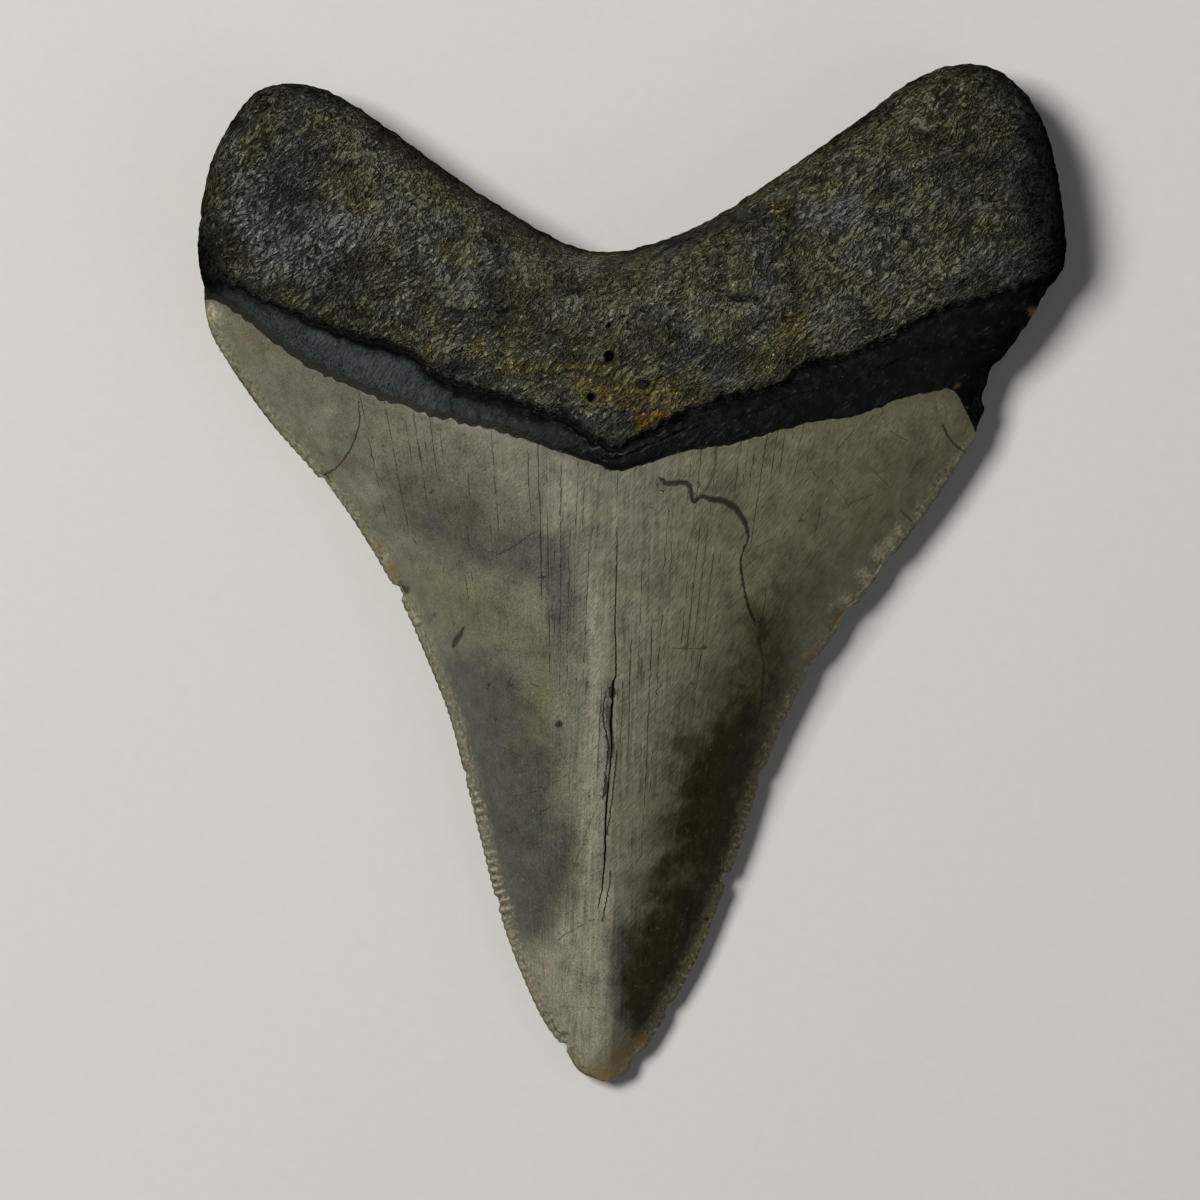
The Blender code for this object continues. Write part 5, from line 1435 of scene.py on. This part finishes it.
def tooth_material(colours):
    """One material with three finishes, parted by the distances to the root's and the enamel's margins."""
    made = bpy.data.materials.new("fossil_tooth")
    made.use_nodes = True
    nodes = Nodes(made.node_tree)
    shader = made.node_tree.nodes["Principled BSDF"]
    where = nodes.add("ShaderNodeTexCoord").outputs["Object"]
    scaled = nodes.add("ShaderNodeVectorMath", {0: where, "Scale": 1 / MM}, operation="SCALE")
    point = scaled.outputs["Vector"]
    strokes_tree, dots, cloud = strokes_group(), dots_group(), cloud_edge_group()
    ochre = nodes.attribute("ochre")
    valleys = valleys_group(strokes_tree)
    root = nodes.use(root_finish(valleys, dots, cloud), {
        "Point": point, "Relief": nodes.attribute("relief"), "Ochre": ochre,
        "Bright": nodes.attribute("bright_ochre"), "Dark": nodes.attribute("dark_root"),
        "Blue": nodes.attribute("blue_root"), "Edge": nodes.attribute("edge"),
        "Margin": nodes.attribute("root_side"), "Colour": colours.root, "Hollow Colour": colours.root_valley_shade,
        "Tint Colour": colours.root_moss, "Blue Colour": colours.root_blue, "Ochre Colour": colours.ochre,
        "Bright Colour": colours.bright_ochre})
    root_side, enamel_side = nodes.attribute("root_side"), nodes.attribute("enamel_side")
    band = nodes.use(band_finish(strokes_tree, dots, cloud), {
        "Point": point, "Root Side": root_side, "Enamel Side": enamel_side, "Ochre": ochre,
        "Colour": colours.band, "Sheen Colour": colours.band_sheen, "Ochre Colour": colours.ochre})
    names = ("edge", "serration", "fresh", "cutting_edge", "hair_phase", "hair_gap", "hair_width",
             "crack_offset", "crack_width", "mark_offset", "mark_width", "mark_dark", "cool", "yellow",
             "dark", "pale", "tip", "worn", "dirt")
    inputs = {name.replace("_", " ").title(): nodes.attribute(name) for name in names}
    enamel = nodes.use(enamel_finish(strokes_tree, valleys, dots, cloud), inputs | {
        "Point": point, "Enamel Side": enamel_side, "Colour": colours.enamel, "Crack Colour": colours.crack,
        "Cool Colour": colours.enamel_cool, "Yellow Colour": colours.enamel_yellow,
        "Dark Colour": colours.enamel_dark_stain_and_shade, "Pale Colour": colours.enamel_pale_and_highlight, "Tip Colour": colours.tip,
        "Worn Colour": colours.worn, "Dirt Colour": colours.dirt})
    crumble = nodes.times_plus(nodes.noise(point, 1.8, 3.0), 1.0, -0.5)
    on_root = nodes.between(nodes.math("ADD", root_side, crumble), -0.15, 0.2)
    on_enamel = nodes.between(enamel_side, 0.0, 0.1)
    colour = nodes.mix(on_root, band["Colour"], root["Colour"])
    front = nodes.math("SUBTRACT", 1.0, nodes.attribute("labial"))
    # Painted shade: the crevice at the foot of the root's ledge is painted near black.
    beside = nodes.math("ABSOLUTE", nodes.times_plus(crumble, 0.6, root_side))
    crevice = nodes.between(nodes.math("DIVIDE", beside, nodes.attribute("crevice")), 1.0, 0.3)
    crevice = nodes.times(crevice, front)
    colour = nodes.mix(nodes.times(crevice, 0.92), colour, CREVICE_SHADE)
    colour = nodes.mix(on_enamel, colour, enamel["Colour"])
    rough = nodes.mixed_value(on_root, band["Roughness"], root["Roughness"])
    rough = nodes.mixed_value(on_enamel, rough, enamel["Roughness"])
    inside = nodes.between(nodes.attribute("edge"), 0.4, 6.0)
    shine = nodes.times(nodes.mixed_value(on_root, 0.07, 0.22), inside)
    shine = nodes.mixed_value(on_enamel, shine, enamel["Shine"])
    height = nodes.mixed_value(on_root, band["Height"], root["Height"])
    height = nodes.mixed_value(on_enamel, height, enamel["Height"])
    bump = nodes.add("ShaderNodeBump", {"Strength": 1.0, "Distance": MM, "Height": height}).outputs["Normal"]
    for name, value in (
            ("Base Color", colour), ("Roughness", rough), ("Specular IOR Level", shine), ("Normal", bump)):
        made.node_tree.links.new(value, shader.inputs[name])
    return made


def floor_material(colour):
    """Plain pale floor with the faintest grain."""
    made = bpy.data.materials.new("pale_floor")
    made.use_nodes = True
    nodes = Nodes(made.node_tree)
    shader = made.node_tree.nodes["Principled BSDF"]
    shader.inputs["Roughness"].default_value = 0.9
    shader.inputs["Specular IOR Level"].default_value = 0.1
    where = nodes.add("ShaderNodeTexCoord").outputs["Object"]
    grain = nodes.noise(where, 900.0, 2.0)
    darker = tuple(0.95 * part for part in colour[:3]) + (1,)
    made.node_tree.links.new(nodes.mix(grain, darker, tuple(colour)), shader.inputs["Base Color"])
    return made


class TOOTH_OT_fossil_tooth(Operator):
    """Build the fossil tooth and its material"""

    bl_idname = "tooth.fossil_tooth"
    bl_label = "Fossil Tooth"

    def execute(self, context):
        shape, colours = context.scene.tooth_shape, context.scene.tooth_colours
        plan = Plan(shape)
        points, quads, triangles = tooth_surface(plan, shape)
        mesh = mesh_from_arrays("fossil_tooth", place_in_frame(points, plan), quads, triangles)
        tooth = bpy.data.objects.new("fossil_tooth", mesh)
        context.scene.collection.objects.link(tooth)
        thinned(tooth, shape.triangles // (1), near_marks(points))
        tooth.data.shade_smooth()
        paint_attributes(tooth, plan, shape)
        tooth.data.materials.append(tooth_material(colours))
        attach(tooth, "root")
        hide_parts(TOOTH_NODE)
        return {"FINISHED"}


class TOOTH_OT_stage(Operator):
    """Build the floor, the lights and the camera"""

    bl_idname = "tooth.stage"
    bl_label = "Stage"

    def execute(self, context):
        stage = context.scene.tooth_stage
        self.make_floor(context, stage)
        self.make_lights(context, stage)
        self.make_camera(context, stage)
        context.scene.view_settings.view_transform = "Standard"
        return {"FINISHED"}

    def make_floor(self, context, stage):
        half = stage.floor_size / 2
        mesh = bpy.data.meshes.new("floor")
        corners = [(-half, -half, 0), (half, -half, 0), (half, half, 0), (-half, half, 0)]
        mesh.from_pydata(corners, [], [(0, 1, 2, 3)])
        mesh.materials.append(floor_material(stage.floor_colour))
        floor = bpy.data.objects.new("floor", mesh)
        context.scene.collection.objects.link(floor)

    def make_lights(self, context, stage):
        lights = (
            ("key", stage.key_power, 0.35, (-0.46, 0.25, 0.86), (1.0, 0.985, 0.95)),
            ("fill", stage.fill_power, 0.8, (0.75, -0.25, 0.6), (0.95, 0.98, 1.0)),
        )
        for name, power, size, place, colour in lights:
            light = bpy.data.lights.new(name, "AREA")
            light.energy, light.size, light.color = power, size, colour
            lamp = bpy.data.objects.new(name, light)
            lamp.location = place
            lamp.rotation_euler = (-lamp.location).to_track_quat("-Z", "Y").to_euler()
            context.scene.collection.objects.link(lamp)
        world = bpy.data.worlds.new("studio")
        world.use_nodes = True
        world.node_tree.nodes["Background"].inputs["Strength"].default_value = stage.sky
        world.node_tree.nodes["Background"].inputs["Color"].default_value = (1, 1, 1, 1)
        context.scene.world = world

    def make_camera(self, context, stage):
        camera = bpy.data.cameras.new("camera")
        camera.lens = camera.sensor_width * stage.camera_height / stage.frame_width
        eye = bpy.data.objects.new("camera", camera)
        eye.location = (stage.view_x, stage.view_y, stage.view_height + stage.camera_height)
        context.scene.collection.objects.link(eye)
        context.scene.camera = eye


class TOOTH_PT_panel(Panel):
    """Lists the tooth's operators and sizes"""

    bl_label = "Megalodon Tooth"
    bl_idname = "TOOTH_PT_panel"
    bl_space_type = "VIEW_3D"
    bl_region_type = "UI"
    bl_category = "Tooth"

    def draw(self, context):
        scene = context.scene
        for operator, settings in (
                (TOOTH_OT_fossil_tooth, scene.tooth_shape), (TOOTH_OT_stage, scene.tooth_stage)):
            self.layout.operator(operator.bl_idname)
            column = self.layout.column(align=True)
            for name in settings.__annotations__:
                column.prop(settings, name)
        for name in scene.tooth_colours.__annotations__:
            self.layout.prop(scene.tooth_colours, name)


CLASSES = (ToothShape, ToothColours, ToothStage, TOOTH_OT_fossil_tooth, TOOTH_OT_stage, TOOTH_PT_panel)


def register():
    for cls in CLASSES:
        bpy.utils.register_class(cls)
    bpy.types.Scene.tooth_shape = PointerProperty(type=ToothShape)
    bpy.types.Scene.tooth_colours = PointerProperty(type=ToothColours)
    bpy.types.Scene.tooth_stage = PointerProperty(type=ToothStage)


def unregister():
    del bpy.types.Scene.tooth_shape, bpy.types.Scene.tooth_colours, bpy.types.Scene.tooth_stage
    for cls in reversed(CLASSES):
        bpy.utils.unregister_class(cls)


def main():
    register()
    bpy.ops.tooth.fossil_tooth()
    bpy.ops.tooth.stage()


if __name__ == "__main__":
    main()
